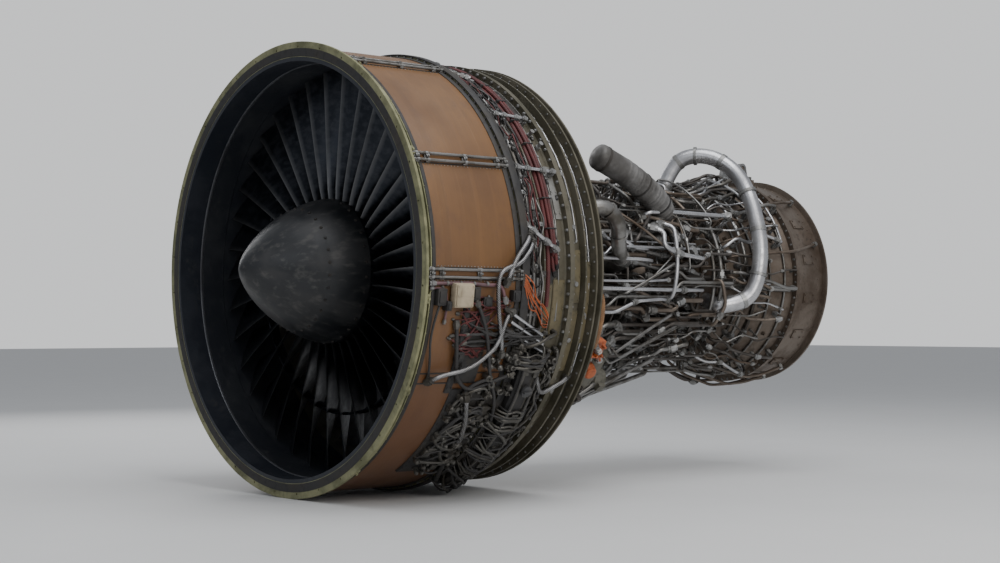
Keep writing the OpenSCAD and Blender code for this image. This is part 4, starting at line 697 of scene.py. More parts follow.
# %% The row of blades
one = bmesh.new()
add_airfoil(one, one.verts.layers.float.new("worn_edge"))
add_root(one)
shapes["blade"] = bpy.data.meshes.new("one_blade")
one.to_mesh(shapes["blade"])
one.free()
bm = bmesh.new()
for i in range(BLADES):
    stamp(bm, "blade", Matrix.Rotation(i * PITCH, 4, "X"), None)
fan = piece(bm, "fan_blade_row", "fan_rotor", "titanium", sharp=50)
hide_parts("fan_blades")

# %% [markdown]
# ## Front of the case
# The front flange takes the inlet cowl, so its holes stay open. A thin seal shows as a pale line where the
# dark liner meets the rub strip, and small lugs stand round the rim. A dark ring covers the inner part of the
# flange's face, so that only its outer edge is green.

# %% Inlet seal, rim lugs and a dark ring on the flange's face
DUCT_R = 1.190
LUG_CLOCKS = (-152, -118, -60, -22, 31, 62, 98, 121, 150)
bm = bmesh.new()
spin_profile(bm, [(0.143, DUCT_R + 0.004), (0.143, DUCT_R - 0.002), (0.147, DUCT_R - 0.004),
                  (0.155, DUCT_R - 0.004), (0.159, DUCT_R - 0.002), (0.159, DUCT_R + 0.004)])
piece(bm, "inlet_seal", "casing", "vane_alloy")

bm = bmesh.new()
for clock in LUG_CLOCKS:
    block(bm, place(0.030, clock, 1.2600), (0.030, 0.050, 0.030), 0.004)
    barrel(bm, place(0.030, clock, 1.2895), stepped((0.010, 0.006), (0.007, 0.012)), 12)
for i in range(72):
    barrel(bm, place(0.0515, (i + 0.25) * 5, 1.2755), [(-0.002, 0.004), (0.003, 0.004), (0.004, 0.0025)], 8)
piece(bm, "rim_lugs", "casing", "chromate_alloy")

# A dark ring over the inner part of the flange's face.
bm = bmesh.new()
spin_profile(bm, [(0.0010, 1.2145), (-0.0020, 1.2165), (-0.0030, 1.2400), (-0.0020, 1.2610),
                  (0.0010, 1.2630)], 256)
piece(bm, "rim_face_ring", "casing", "dark_liner", "dark_paint")

# %% [markdown]
# ## The wrapped case
# The wrap is a smooth drum with rounded edges and a dark moulded edge on each side. Each is one outline
# that is spun round the shaft. Flat dark strips cover the joints in the wrap, where the steel rods run.

# %% Wrap, edges and joint strips
WRAP_R, WRAP_X0, WRAP_X1 = 1.2686, 0.072, 0.654
EDGE_ROUND = 0.012
ROD_CLOCKS = (26.5, 63.5, 92.0, -30.0, -66.0)
bm = bmesh.new()
corner = [(EDGE_ROUND * (1 - math.cos(math.radians(a))), EDGE_ROUND * (1 - math.sin(math.radians(a))))
          for a in range(0, 91, 15)]
front = [(WRAP_X0, WRAP_R - 0.0260)] + [(WRAP_X0 + dx, WRAP_R - dr) for dx, dr in corner]
rear = [(WRAP_X1 - dx, WRAP_R - dr) for dx, dr in reversed(corner)] + [(WRAP_X1, WRAP_R - 0.0260)]
spin_profile(bm, front + rear, 320)
drum = piece(bm, "wrap_drum", "casing", "resin_wrap")
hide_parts("fibre_wrap")

bm = bmesh.new()
spin_profile(bm, [(0.634, WRAP_R - 0.004), (0.634, WRAP_R + 0.004), (0.642, WRAP_R + 0.007),
                  (0.664, WRAP_R + 0.007), (0.670, WRAP_R + 0.001), (0.670, WRAP_R - 0.024),
                  (0.660, WRAP_R - 0.024)], 256)
spin_profile(bm, [(0.060, WRAP_R - 0.024), (0.062, WRAP_R + 0.002), (0.068, WRAP_R + 0.005),
                  (0.080, WRAP_R + 0.005), (0.084, WRAP_R + 0.002), (0.084, WRAP_R - 0.004)], 256)
piece(bm, "wrap_edges", "casing", "dark_paint")

bm = bmesh.new()
for clock in ROD_CLOCKS + (118.0, -95.0, -125.0, 178.0):
    for side in (-1.35, 1.35):
        sweep_profile(bm, [(0.086, WRAP_R - 0.003), (0.086, WRAP_R + 0.0030), (0.632, WRAP_R + 0.0030),
                           (0.632, WRAP_R - 0.003)], clock + side - 0.16, clock + side + 0.16, 2)
piece(bm, "joint_strips", "casing", "dark_paint", sharp=50)

# %% [markdown]
# The rods are the frame's. Each pair is held by clamps of two sleeves, a foot and a bolt, and a row of
# rivets runs along each side of the strip. A clamp is built from blocks and turned parts on a matrix of its
# own, so the same few lines serve every place.

# %% Clamps on the rods
bm = bmesh.new()
for clock in ROD_CLOCKS:
    for x in (0.052, 0.120, 0.375, 0.600, 0.658):
        stand = place(x, clock, WRAP_R + 0.002)
        block(bm, stand, (0.026, 0.066, 0.010), 0.002)
        block(bm, stand @ shift(z=0.010), (0.020, 0.014, 0.016), 0.002)
        for y in (-0.020, 0.020):
            barrel(bm, stand @ shift(-0.009, y, 0.0136) @ rotate(90, "Y"), stepped((0.0104, 0.018)), 12)
        bolt(bm, stand @ shift(z=0.026), 0.006, 0.005)
piece(bm, "rod_clamps", "casing", "steel")

bm = bmesh.new()
for clock in ROD_CLOCKS:
    for i in range(24):
        for side in (-1.75, 1.75):
            barrel(bm, place(0.10 + i * 0.0225, clock + side, WRAP_R - 0.0002),
                   [(0.0, 0.0036), (0.0018, 0.0030), (0.0024, 0.0012)], 6)
piece(bm, "strip_rivets", "casing", "steel")

# %% [markdown]
# ## Flanges
# Cases join at flanges with a close ring of bolts. Heads stand on the front face and nuts on the rear face,
# so the rings catch the light as rows of bright dots. The compressor case is split along its sides instead,
# and has a straight row of bolts on each side.

# %% Bolt rings
# Station, radius, number of bolts, their size and the way they face; then station, radius, number of bolts
# and half the thickness of each flange of the core.
FAN_CASE_RINGS = (
    (0.672, 1.2780, 120, 0.0075, "forward"), (0.708, 1.2780, 120, 0.0075, "aft"),
    (1.042, 1.2490, 110, 0.0085, "forward"), (1.075, 1.2490, 110, 0.0075, "aft"),
    (1.239, 1.2450, 96, 0.0065, "forward"), (1.2955, 1.2380, 96, 0.0085, "aft"))
CORE_FLANGES = ((1.478, 0.4420, 48, 0.016), (2.330, 0.4260, 48, 0.014), (2.800, 0.5040, 60, 0.014),
                (3.060, 0.5040, 60, 0.014), (3.640, 0.6940, 84, 0.014))
bm = bmesh.new()
for x, r, count, size, facing in FAN_CASE_RINGS:
    bolt_circle(bm, x, r, count, size, facing)
for x, r in ((1.167, 1.2545), (0.868, 1.2425)):
    for i in range(90):
        barrel(bm, place(x, i * 360 / 90, r - 0.001), [(0.0, 0.0045), (0.003, 0.004), (0.0045, 0.002)], 6)
piece(bm, "fan_case_bolts", "casing", "steel")

bm = bmesh.new()
for x, r, count, half in CORE_FLANGES:
    bolt_circle(bm, x - half, r, count, 0.0065, "forward")
    bolt_circle(bm, x + half, r, count, 0.0065, "aft")
for i in range(16):
    x, flange_y = 1.53 + i * 0.05, 0.443 - (0.443 - 0.398) * i / 15
    for side in (-1, 1):
        stand = shift(x, side * (flange_y - 0.012), 0.012)
        if not 1.9 < x < 2.02:
            bolt(bm, stand, 0.006, 0.006)
            bolt(bm, stand @ shift(z=-0.024) @ rotate(180, "X"), 0.006, 0.006)
bolt_circle(bm, 3.961, 0.345, 30, 0.007, "aft")
piece(bm, "core_bolts", "casing", "steel")

# %% [markdown]
# ## Tubes
# Pipes, hoses and cables are all one shape: a circle carried along a line that is straight between its
# bends. A curve object does that best, so each run becomes a spline of a curve, which is turned into a mesh
# and added to the piece. Union nuts close the ends, and saddles hold the runs down.

# %% Lines round the engine


def between(a, b, share):
    """A place part of the way from one (station, clock, radius) to the next."""
    return tuple(u + (v - u) * share for u, v in zip(a, b))


def route(*stations, bend=0.035):
    """Points of a run that winds evenly round the engine from place to place, with a round bend at each."""
    legs = []
    for a, b in zip(stations, stations[1:]):
        share = min(0.45, bend / max(0.001, (at(*b) - at(*a)).length))
        steps = int(abs(b[1] - a[1]) / 8) + 1
        legs.append([at(*between(a, b, share + (1 - 2 * share) * i / steps)) for i in range(steps + 1)])
    points = [at(*stations[0])]
    for leg, place_b, after in zip(legs, stations[1:], legs[1:] + [None]):
        corner = at(*place_b)
        points += leg
        if after:
            for t in (0.3, 0.7):
                points.append(leg[-1] * (1 - t) ** 2 + corner * 2 * t * (1 - t) + after[0] * t * t)
    return points + [at(*stations[-1])]


def smooth_line(stations, steps=6):
    """Points of a smooth line through places, straight in its first and last stretch."""
    p = [at(*station) for station in stations]
    points = [p[0]]
    for i in range(1, len(p) - 2):
        a, b, c, d = p[i - 1:i + 3]
        for t in (j / steps for j in range(steps)):
            square = (2 * a - 5 * b + 4 * c - d) * t ** 2
            cube = (3 * b - a - 3 * c + d) * t ** 3
            points.append(0.5 * (2 * b + (c - a) * t + square + cube))
    return points + p[-2:]


print("points of a run with one corner:", len(route((0, 0, 1), (1, 0, 1), (1, 9, 1))))

# %% [markdown]
# A line becomes a tube when its curve gets a round bevel. All the runs of a piece are splines of one curve,
# and each point's radius is its tube's own, so Blender turns a whole piece into a mesh at once.

# %% Tube helpers


def run_tubes(bm, runs, sides=8):
    """Adds round tubes to a bmesh. Each run is its points and its radius."""
    data = bpy.data.curves.new("tube_line", "CURVE")
    data.dimensions = "3D"
    data.bevel_depth = 1.0
    data.bevel_resolution = (sides - 4) // 2
    data.use_fill_caps = True
    for points, radius in runs:
        spline = data.splines.new("POLY")
        spline.points.add(len(points) - 1)
        for control, point in zip(spline.points, points):
            control.co = (*point, 1.0)
            control.radius = radius
    line = bpy.data.objects.new("tube_line", data)
    bpy.context.scene.collection.objects.link(line)
    bpy.context.view_layer.update()
    mesh = bpy.data.meshes.new_from_object(line.evaluated_get(bpy.context.evaluated_depsgraph_get()))
    bm.from_mesh(mesh)
    bpy.data.objects.remove(line)
    bpy.data.meshes.remove(mesh)
    bpy.data.curves.remove(data)


def facing_along(where, along):
    """A matrix at a point whose local Z follows a direction."""
    return Matrix.Translation(where) @ along.to_track_quat("Z", "Y").to_matrix().to_4x4()


def union_nut(small):
    """A union nut for a tube of unit radius: a hexagon between two collars."""
    bmesh.ops.create_cone(small, cap_ends=True, segments=6, radius1=1.9, radius2=1.9, depth=2.0)
    bmesh.ops.create_cone(small, cap_ends=True, segments=8, radius1=1.45, radius2=1.45, depth=4.2)


def union(bm, where, along, r):
    """A union nut at a point of a tube."""
    stamp(bm, "union", facing_along(where, along) @ Matrix.Scale(r, 4), union_nut)


def run_ends(points):
    """The two ends of a run, each with the direction that leads into it."""
    return [(end, (inner - end).normalized())
            for end, inner in ((points[0], points[1]), (points[-1], points[-2]))]


def saddle(bm, x, clock, r, tube_r, foot_r, along="ring"):
    """A clamp round a tube that runs round the engine or along its axis, with a foot to what carries it."""
    sleeve = place(x, clock, r) @ rotate(90, "X" if along == "ring" else "Y") @ shift(z=-0.007)
    barrel(bm, sleeve, stepped((tube_r + 0.003, 0.014)), 10)
    block(bm, place(x, clock, foot_r), (0.012, 0.012, max(0.004, r - foot_r)), 0.0)


def tubing(name, slot, runs, finish=None, nuts=None, sides=8):
    """A piece made of tubes. Union nuts for their ends go into a second bmesh, if one is given."""
    bm = bmesh.new()
    run_tubes(bm, runs, sides)
    if nuts is not None:
        for points, r in runs:
            for end, along in run_ends(points):
                union(nuts, end + along * r * 2.2, along, r)
    return piece(bm, name, "casing", slot, finish, sharp=60)


print("tube helpers are ready")

# %% [markdown]
# ## Services behind the wrap
# The case behind the wrap carries the engine's services: fuel, air and oil pipes that run round it side by
# side, and wiring in maroon braided sleeves. Straps hold the pipes and black clamps hold the sleeves. The
# pipes of the frame stay as they are, and thinner ones fill the gaps between them.

# %% Rings of pipes
SKIN_R = 1.218
# Station, tube radius, first and last clock angle.
CASE_PIPES = ((0.722, 0.006, -66, 109), (0.770, 0.006, -52, 100), (0.810, 0.0052, -71, 112),
              (0.846, 0.007, -48, 97), (0.968, 0.007, -60, 90), (0.984, 0.005, -62, 104))
bm = bmesh.new()
runs = []
for x, r, start, end in CASE_PIPES:
    low = SKIN_R + r + 0.001
    runs.append((route((x, start, SKIN_R - 0.002), (x, start + 1.0, low + 0.004), (x, start + 3, low),
                       (x, end - 3, low), (x, end - 1.0, low + 0.004), (x, end, SKIN_R - 0.002),
                       bend=0.015), r))
    for clock in range(-54, 90, 12):
        saddle(bm, x, clock + 5, low, r, SKIN_R - 0.001)
tubing("thin_case_pipes", "tube_steel", runs, nuts=bm)
for clock in range(-54, 104, 12):
    block(bm, place(0.785, clock, SKIN_R - 0.001), (0.116, 0.014, 0.0300), 0.003)
    for x in (0.738, 0.774, 0.832):
        bolt(bm, place(x, clock, SKIN_R + 0.0285), 0.0055, 0.006)
piece(bm, "case_pipe_straps", "casing", "steel")

# %% [markdown]
# The wiring sleeves lie beside the pipes at two levels. Cloth never lies quite straight, so a seeded random
# generator moves their stations by up to three millimetres, and black clamps hold them every eight degrees.

# %% Maroon sleeves
# Station, tube radius, level, first and last clock angle.
SLEEVES = ((0.926, 0.011, 1.2295, -44, 92), (0.946, 0.008, 1.2265, -30, 84),
           (0.913, 0.010, 1.2500, -22, 88), (0.935, 0.010, 1.2490, 4, 90))
dice = random.Random(3)
sleeves = []
for x, r, low, start, end in SLEEVES:
    wavy = [(x + dice.uniform(-0.003, 0.003), clock, low + dice.uniform(0.0, 0.003))
            for clock in range(start + 6, end - 4, 6)]
    sleeves.append((route((x, start, SKIN_R), (x, start + 2, low), *wavy, (x + 0.01, end - 2, low),
                          (x + 0.04, end, SKIN_R), bend=0.02), r))
tubing("wiring_sleeves", "harness_sleeve", sleeves)
bm = bmesh.new()
for clock in range(-40, 88, 8):
    block(bm, place(0.9185, clock, SKIN_R - 0.001), (0.070, 0.007, 0.047 if clock > -20 else 0.028), 0.003)
for points, _ in sleeves:
    for end, along in run_ends(points):
        union(bm, end + along * 0.016, along, 0.009)
piece(bm, "sleeve_clamps", "casing", "dark_paint")

# %% [markdown]
# Over the rings lie dozens of loose wires and thin pipes, with the brackets and bolts that hold them.
# Placing each by hand would take long and show little, so a seeded random generator does it: the same seed
# gives the same engine every time. A wire keeps its own course and only wanders a little from it.

# %% Loose wires over the rings
dice = random.Random(8)
loose = {"dark_paint": [], "harness_sleeve": [], "tube_steel": []}
for _ in range(46):
    x, start = dice.uniform(0.722, 0.860), dice.uniform(-60, 84)
    sweep, level = dice.uniform(10, 34), dice.uniform(1.252, 1.264)
    line = [(x, start, level - 0.03), (x, start + 0.6, level)]
    for j in range(1, 6):
        astray = min(0.866, max(0.718, x + dice.uniform(-0.028, 0.028)))
        line.append((astray, start + sweep * j / 6, level + dice.uniform(-0.003, 0.005)))
    line += [(x, start + sweep - 0.6, level), (x, start + sweep, level - 0.03)]
    kind = dice.choices(list(loose), (50, 25, 25))[0]
    loose[kind].append((smooth_line(line, 3), dice.choice((0.0035, 0.005, 0.0065))))
tubing("loose_black_wires", "dark_paint", loose["dark_paint"], "black_sleeve", sides=6)
tubing("loose_red_wires", "harness_sleeve", loose["harness_sleeve"], sides=6)
tubing("loose_thin_pipes", "tube_steel", loose["tube_steel"], sides=6)

# %% [markdown]
# Each bracket is a small rounded block with a bolt on top. The dark ones and the pale ones are two pieces,
# because a piece has one finish.

# %% Small brackets over the rings
dark = bmesh.new()
light = bmesh.new()
for i in range(110):
    x, clock = dice.uniform(0.722, 0.862), dice.uniform(-66, 100)
    length, width = dice.choice((0.018, 0.028, 0.040)), dice.choice((0.014, 0.024, 0.036))
    height = dice.choice((0.030, 0.036, 0.042))
    block(dark if i % 3 else light, place(x, clock, SKIN_R - 0.001), (length, width, height), 0.002)
    bolt(light, place(x, clock, SKIN_R + height - 0.002), 0.005, 0.005)
for i in range(60):
    x, clock = dice.uniform(0.885, 1.030), dice.uniform(-60, 92)
    if x >= 0.955:
        block(dark if i % 2 else light, place(x, clock, SKIN_R - 0.001), (0.016, 0.030, 0.014), 0.002)
        bolt(light, place(x, clock, SKIN_R + 0.012), 0.006, 0.005)
piece(dark, "dark_brackets", "casing", "dark_paint")
piece(light, "light_brackets", "casing", "steel")

# %% [markdown]
# Silver struts and short pipes cross the rings and catch the light. Each rises from the skin, crosses at
# one level and comes down again, and wears a union nut at every joint.

# %% Struts across the rings
# Station and clock angle of one end and of the other, level and tube radius; then the places of sensors.
STRUTS = ((0.777, 46.4, 0.997, 47.4, 1.266, 0.009), (0.743, 64.0, 1.016, 64.7, 1.268, 0.010),
          (0.703, 78.9, 0.932, 85.5, 1.272, 0.011), (0.760, 8.0, 0.980, 7.0, 1.262, 0.008),
          (0.741, 26.0, 0.830, 29.0, 1.268, 0.010), (0.752, -24.0, 0.990, -24.5, 1.262, 0.009),
          (0.745, -52.0, 1.000, -50.0, 1.266, 0.010), (0.726, 20.0, 0.850, 14.0, 1.260, 0.007))
SENSORS = ((0.744, 22.5), (0.762, 28.5), (0.735, 31.0), (0.840, 30.5), (0.990, 52.0), (1.010, 56.0))
nuts = bmesh.new()
tubing("case_struts", "bright_tube", [
    (route((xa, ca, SKIN_R), (xa, ca, r), (xb, cb, r), (xb, cb, SKIN_R), bend=0.018), radius)
    for xa, ca, xb, cb, r, radius in STRUTS], nuts=nuts)
for xa, ca, xb, cb, r, radius in STRUTS:
    first, last = (xa, ca, r), (xb, cb, r)
    for share in (0.04, 0.3, 0.7, 0.96):
        union(nuts, at(*between(first, last, share)), at(*last) - at(*first), radius)
for x, clock in SENSORS:
    barrel(nuts, place(x, clock, SKIN_R), stepped((0.016, 0.020), (0.010, 0.040), (0.014, 0.052)), 12)
piece(nuts, "strut_nuts", "casing", "steel")

# %% [markdown]
# A dark access hatch with a pale edge sits high on the left, with a pale plate below it, and khaki shields
# lower down where oil may drip. All are plates bent round the case. Each is one outline, swept between two
# clock angles, because a flat block would stand off the case at its ends.

# %% Hatches, plates and shields
FRAME_R = 1.210


def plate(bm, x0, x1, r, high, start, end, steps):
    """A plate round a case of radius r: its stations, height and clock angles. Its foot is sunk a little."""
    sweep_profile(bm, [(x0, r - 0.002), (x0, r + high), (x1, r + high), (x1, r - 0.002)], start, end, steps)


bm = bmesh.new()
plate(bm, 0.950, 1.038, SKIN_R, 0.004, 11, 44, 12)
plate(bm, 1.080, 1.158, FRAME_R + 0.0005, 0.003, 12, 40, 10)
for clock in range(-150, -20, 26):
    plate(bm, 0.960, 1.034, SKIN_R, 0.004, clock, clock + 17, 6)
for x0, x1, r, start, end in ((0.712, 0.858, SKIN_R, -180, 180), (0.880, 1.040, SKIN_R, -14, 46),
                              (0.880, 0.956, SKIN_R, 46.1, 94), (1.177, 1.237, FRAME_R, -180, 180),
                              (1.076, 1.094, FRAME_R, -180, 180)):
    plate(bm, x0, x1, r, 0.0008, start, end, int((end - start) / 3))
spin_profile(bm, [(0.664, 1.2840), (0.664, 1.2905), (0.670, 1.2940), (0.710, 1.2940), (0.716, 1.2900),
                  (0.716, 1.2840)], 256)
piece(bm, "access_hatches", "casing", "dark_paint")

bm = bmesh.new()
for x0, x1 in ((0.944, 0.951), (1.034, 1.040)):
    plate(bm, x0, x1, SKIN_R, 0.008, 18, 44, 10)
for clock in (18.0, 31.0, 44.0):
    plate(bm, 0.945, 1.039, SKIN_R, 0.0075, clock - 0.2, clock + 0.2, 1)
plate(bm, 0.995, 1.038, SKIN_R, 0.007, 62, 77, 6)
plate(bm, 1.078, 1.120, FRAME_R + 0.0005, 0.0055, 64, 76, 6)
for clock in (63.5, 69.5, 75.5):
    for x in (1.002, 1.031):
        bolt(bm, place(x, clock, SKIN_R + 0.006), 0.006, 0.004)
piece(bm, "pale_plates", "casing", "box_paint")

bm = bmesh.new()
for x0, x1, r, start, end in ((0.872, 0.940, SKIN_R, 94.5, 111), (0.950, 1.036, SKIN_R, 93, 108),
                              (1.080, 1.158, FRAME_R, 85, 99), (1.080, 1.158, FRAME_R, 101, 118),
                              (1.180, 1.234, FRAME_R, 88, 110), (0.955, 1.034, SKIN_R, 112, 126)):
    sweep_profile(bm, [(x0, r - 0.002), (x0, r + 0.005), (x0 + 0.004, r + 0.009), (x1 - 0.004, r + 0.009),
                       (x1, r + 0.005), (x1, r - 0.002)], start, end, 8)
    for clock in (start + 0.8, (start + end) / 2, end - 0.8):
        for x in (x0 + 0.009, x1 - 0.009):
            bolt(bm, place(x, clock, r + 0.008), 0.0055, 0.004)
piece(bm, "khaki_shields", "casing", "case_alloy", "khaki_paint")

# %% [markdown]
# The frame behind carries thin bright pipes between its ribs, with a round boss over each strut. They are
# made as the pipes above are, only on a smaller drum.

# %% Rings and bosses on the frame
# Station, tube radius, first and last clock angle.
FRAME_PIPES = ((1.096, 0.0055, -58, 84), (1.138, 0.0050, -60, 83), (1.204, 0.0060, -64, 86),
               (1.222, 0.0045, -64, 120), (1.267, 0.0050, -70, 122))
FRAME_FOOT = FRAME_R - 0.001
bm = bmesh.new()
runs = []
for x, r, start, end in FRAME_PIPES:
    low = FRAME_R + r + 0.001
    runs.append((route((x, start, FRAME_FOOT), (x, start + 1, low), (x, end - 1, low), (x, end, FRAME_FOOT),
                       bend=0.012), r))
    for clock in range(start + 5, end - 4, 9):
        saddle(bm, x, clock, low, r, FRAME_FOOT)
tubing("frame_pipes", "bright_tube", runs, nuts=bm)
for i in range(24):
    middle = i * 15 + 4
    barrel(bm, place(1.118, middle, FRAME_FOOT), stepped((0.017, 0.006), (0.011, 0.016), (0.014, 0.022)), 12)
    for x in (1.094, 1.142):
        for clock in (-1.4, 1.4):
            bolt(bm, place(x, middle + clock, FRAME_FOOT), 0.006, 0.006)
    barrel(bm, place(1.206, i * 15 - 3, FRAME_FOOT), stepped((0.012, 0.010), (0.007, 0.020)), 10)
piece(bm, "frame_bosses", "casing", "steel")

# %% [markdown]
# ## Fittings low on the fan case
# The lower left of the fan case is the busiest place on the engine. A cream box and a mauve conduit sit
# over the wrap, with dark boxes and a dark frame of flat ribs round them. They are few and easy to see, so
# each has a place of its own.

# %% Conduit and boxes
OVER_WRAP = WRAP_R + 0.003
nuts = bmesh.new()
tubing("mauve_conduit", "tube_steel", [
    (route((0.030, 94.4, 1.284), (0.300, 94.2, 1.284), (0.420, 94.6, 1.286), (0.520, 94.4, 1.286),
           (0.560, 99.0, 1.290)), 0.010),
    (route((0.040, 95.6, 1.280), (0.150, 95.4, 1.280), (0.165, 100.0, 1.280), (0.160, 104.0, 1.280)), 0.006)],
    "mauve_paint", nuts)
for x in (0.06, 0.15, 0.24, 0.33, 0.42, 0.50):
    saddle(nuts, x, 94.3, 1.285, 0.010, OVER_WRAP - 0.006, "axis")
piece(nuts, "conduit_clamps", "casing", "steel")

bm = bmesh.new()
box_stand = place(0.242, 97.0, OVER_WRAP + 0.008)
block(bm, box_stand, (0.124, 0.128, 0.046), 0.006)
block(bm, box_stand @ shift(z=0.044), (0.112, 0.116, 0.010), 0.003)
block(bm, box_stand @ shift(0.0, 0.02, 0.052), (0.06, 0.05, 0.004), 0.001)
for x in (-0.048, 0.048):
    for y in (-0.050, 0.0, 0.050):
        bolt(bm, box_stand @ shift(x, y, 0.053), 0.005, 0.004)
    for y in (-0.0528, 0.0528):
        barrel(bm, box_stand @ shift(x, y, -0.014), stepped((0.012, 0.016)), 12)
piece(bm, "cream_box", "casing", "box_paint", "cream_paint")

bm = bmesh.new()
for x, clock, length, width, height in (
        (0.110, 97.5, 0.060, 0.090, 0.040), (0.155, 99.5, 0.030, 0.050, 0.050),
        (0.345, 96.6, 0.050, 0.070, 0.034), (0.430, 98.5, 0.060, 0.050, 0.030),
        (0.620, 97.0, 0.050, 0.060, 0.040), (0.300, 112.0, 0.045, 0.060, 0.036)):
    block(bm, place(x, clock, OVER_WRAP - 0.004), (length, width, height), 0.004)
    block(bm, place(x, clock, OVER_WRAP + height - 0.006), (length * 0.7, width * 0.7, 0.008), 0.002)
for x0, x1, start, end in ((0.285, 0.330, 95, 122), (0.330, 0.640, 121, 152), (0.335, 0.470, 101, 119)):
    low, shoulder, top = OVER_WRAP - 0.008, OVER_WRAP + 0.002, OVER_WRAP + 0.008
    sweep_profile(bm, [(x0, low), (x0, shoulder), (x0 + 0.006, top), (x1 - 0.006, top), (x1, shoulder),
                       (x1, low)], start, end, 12)
    for i in range(int((end - start) / 3)):
        for x in (x0 + 0.010, x1 - 0.010):
            bolt(bm, place(x, start + 1.5 + 3 * i, OVER_WRAP + 0.007), 0.0055, 0.004)
piece(bm, "dark_boxes", "casing", "dark_paint")

# %% [markdown]
# Braided hoses swing over the boxes in wide curves, black ones lie below them, and three straight pipes run
# down across the edge of the wrap. A hose bends wide because its braid would kink, so its routes have a
# larger bend.

# %% Hoses over the wrap
nuts = bmesh.new()
tubing("braided_hoses", "tube_steel", [
    (route((0.745, 81.2, 1.262), (0.700, 83.5, 1.312), (0.600, 88.0, 1.318), (0.560, 91.2, 1.316),
           (0.545, 95.0, 1.290)), 0.013),
    (route((0.765, 83.0, 1.262), (0.720, 85.2, 1.310), (0.630, 89.3, 1.316), (0.520, 90.6, 1.318),
           (0.480, 92.2, 1.316), (0.479, 96.0, 1.310), (0.500, 102.0, 1.315), (0.546, 107.9, 1.318),
           (0.580, 112.0, 1.300)), 0.012),
    (route((0.130, 119.0, 1.275), (0.150, 117.0, 1.318), (0.177, 116.1, 1.324), (0.353, 114.5, 1.326),
           (0.450, 111.6, 1.326), (0.520, 108.4, 1.322), (0.560, 102.0, 1.310), (0.620, 100.5, 1.290),
           bend=0.06), 0.0125),
    (route((0.880, 114.0, SKIN_R - 0.002), (0.885, 116.0, 1.262), (0.967, 123.1, 1.290),
           (1.154, 119.7, 1.260), (1.200, 118.5, 1.212), bend=0.05), 0.013),
    (route((0.410, 121.0, 1.300), (0.427, 123.4, 1.318), (0.480, 129.0, 1.320), (0.531, 135.8, 1.318),
           (0.545, 140.0, 1.285)), 0.014)], "hose_braid", nuts)
tubing("black_hoses", "tube_steel", [
    (route((0.125, 95.0, 1.278), (0.120, 97.0, 1.292), (0.085, 103.0, 1.290), (0.078, 108.0, 1.290),
           (0.110, 113.0, 1.290), (0.140, 118.0, 1.280), bend=0.06), 0.0065),
    (route((0.240, 103.0, 1.280), (0.250, 108.0, 1.300), (0.300, 117.0, 1.305), (0.420, 121.0, 1.300),
           (0.600, 118.0, 1.300), (0.700, 116.0, 1.310), bend=0.06), 0.011),
    (route((0.350, 98.0, 1.290), (0.420, 104.0, 1.310), (0.520, 116.0, 1.315), (0.640, 124.0, 1.310),
           (0.700, 132.0, 1.300), bend=0.07), 0.010),
    (route((0.560, 140.0, 1.280), (0.600, 150.0, 1.300), (0.720, 160.0, 1.300), (0.900, 165.0, 1.260),
           (1.120, 168.0, 1.215), bend=0.08), 0.015)], "black_sleeve", nuts)
tubing("diagonal_pipes", "bright_tube", [
    (route((0.570 + 0.016 * i, 100.2 + 2.4 * i, 1.272), (0.590 + 0.016 * i, 100.9 + 2.4 * i, 1.300),
           (0.850 + 0.016 * i, 106.7 + 2.2 * i, 1.298), (0.880 + 0.016 * i, 107.8 + 2.2 * i, 1.219),
           bend=0.02), 0.009) for i in range(3)], nuts=nuts)

# %% [markdown]
# Three bundles of wires spread over the wrap: maroon ones below the cream box, orange ones at the wrap's
# edge and dark ones behind them. Each wire starts and ends close to the wrap and wanders above it on the
# way.

# %% Wires over the wrap
dice = random.Random(21)


def loose_wire(x0, x1, low, high, r, sag=0.020):
    """A wire that wanders between two stations and clock angles near the wrap."""
    start, end = dice.uniform(low, high), dice.uniform(low, high)
    middle = [(x0 + (x1 - x0) * t, start + (end - start) * t + dice.uniform(-0.8, 0.8),
               r + dice.uniform(0.3, 1.0) * sag) for t in (0.1, 0.4, 0.6, 0.9)]
    return smooth_line([(x0, start, r - 0.003), *middle, (x1, end, r - 0.003)], 4)


tubing("maroon_wires", "harness_sleeve", [
    (loose_wire(dice.uniform(0.20, 0.32), dice.uniform(0.42, 0.62), 97, 113, OVER_WRAP),
     dice.choice((0.004, 0.005, 0.0065))) for _ in range(16)], nuts=nuts, sides=6)
tubing("orange_wires", "orange_primer", [
    (smooth_line([(0.668, 91.5 + i * 0.5, 1.290), (0.680, 92 + i * 0.6, 1.300),
                  (0.735, 94 + i * 1.1 + (i % 2) * 0.5, 1.302 - (i % 3) * 0.009),
                  (0.790, 97.5 + i * 0.7, 1.270 + (i % 2) * 0.012),
                  (0.855, 99.5 + i * 1.1 - (i % 2) * 0.4, 1.262 + (i % 3) * 0.006),
                  (0.905, 102 + i * 0.6, 1.255), (0.915, 103 + i * 0.6, 1.240)], 4), 0.0036)
    for i in range(6)], nuts=nuts, sides=6)
tubing("dark_wires", "dark_paint", [
    (loose_wire(dice.uniform(0.24, 0.60), dice.uniform(0.68, 0.90), 103, 110.5, 1.275, 0.04),
     dice.choice((0.004, 0.006, 0.008))) for _ in range(16)], "black_sleeve", nuts, 6)

# %% [markdown]
# ## Round the oil tank
# Below the hoses, pipes and sleeves pass the oil tank on all sides: over the wrap in front of it, across
# the tank, round its two straps and over the case behind it. The tank's filler cap has to turn, so the
# lines keep away from the clock angles round it.

# %% Pipes and sleeves round the oil tank
LINE_KINDS = ["tube_steel", "dark_paint"]
TANK_TOP = 1.345
lower = {kind: [] for kind in LINE_KINDS}


def low_line(kind, stations, r):
    """Puts a line among the pipes or the sleeves."""
    lower[kind].append((smooth_line(stations, 4), r))


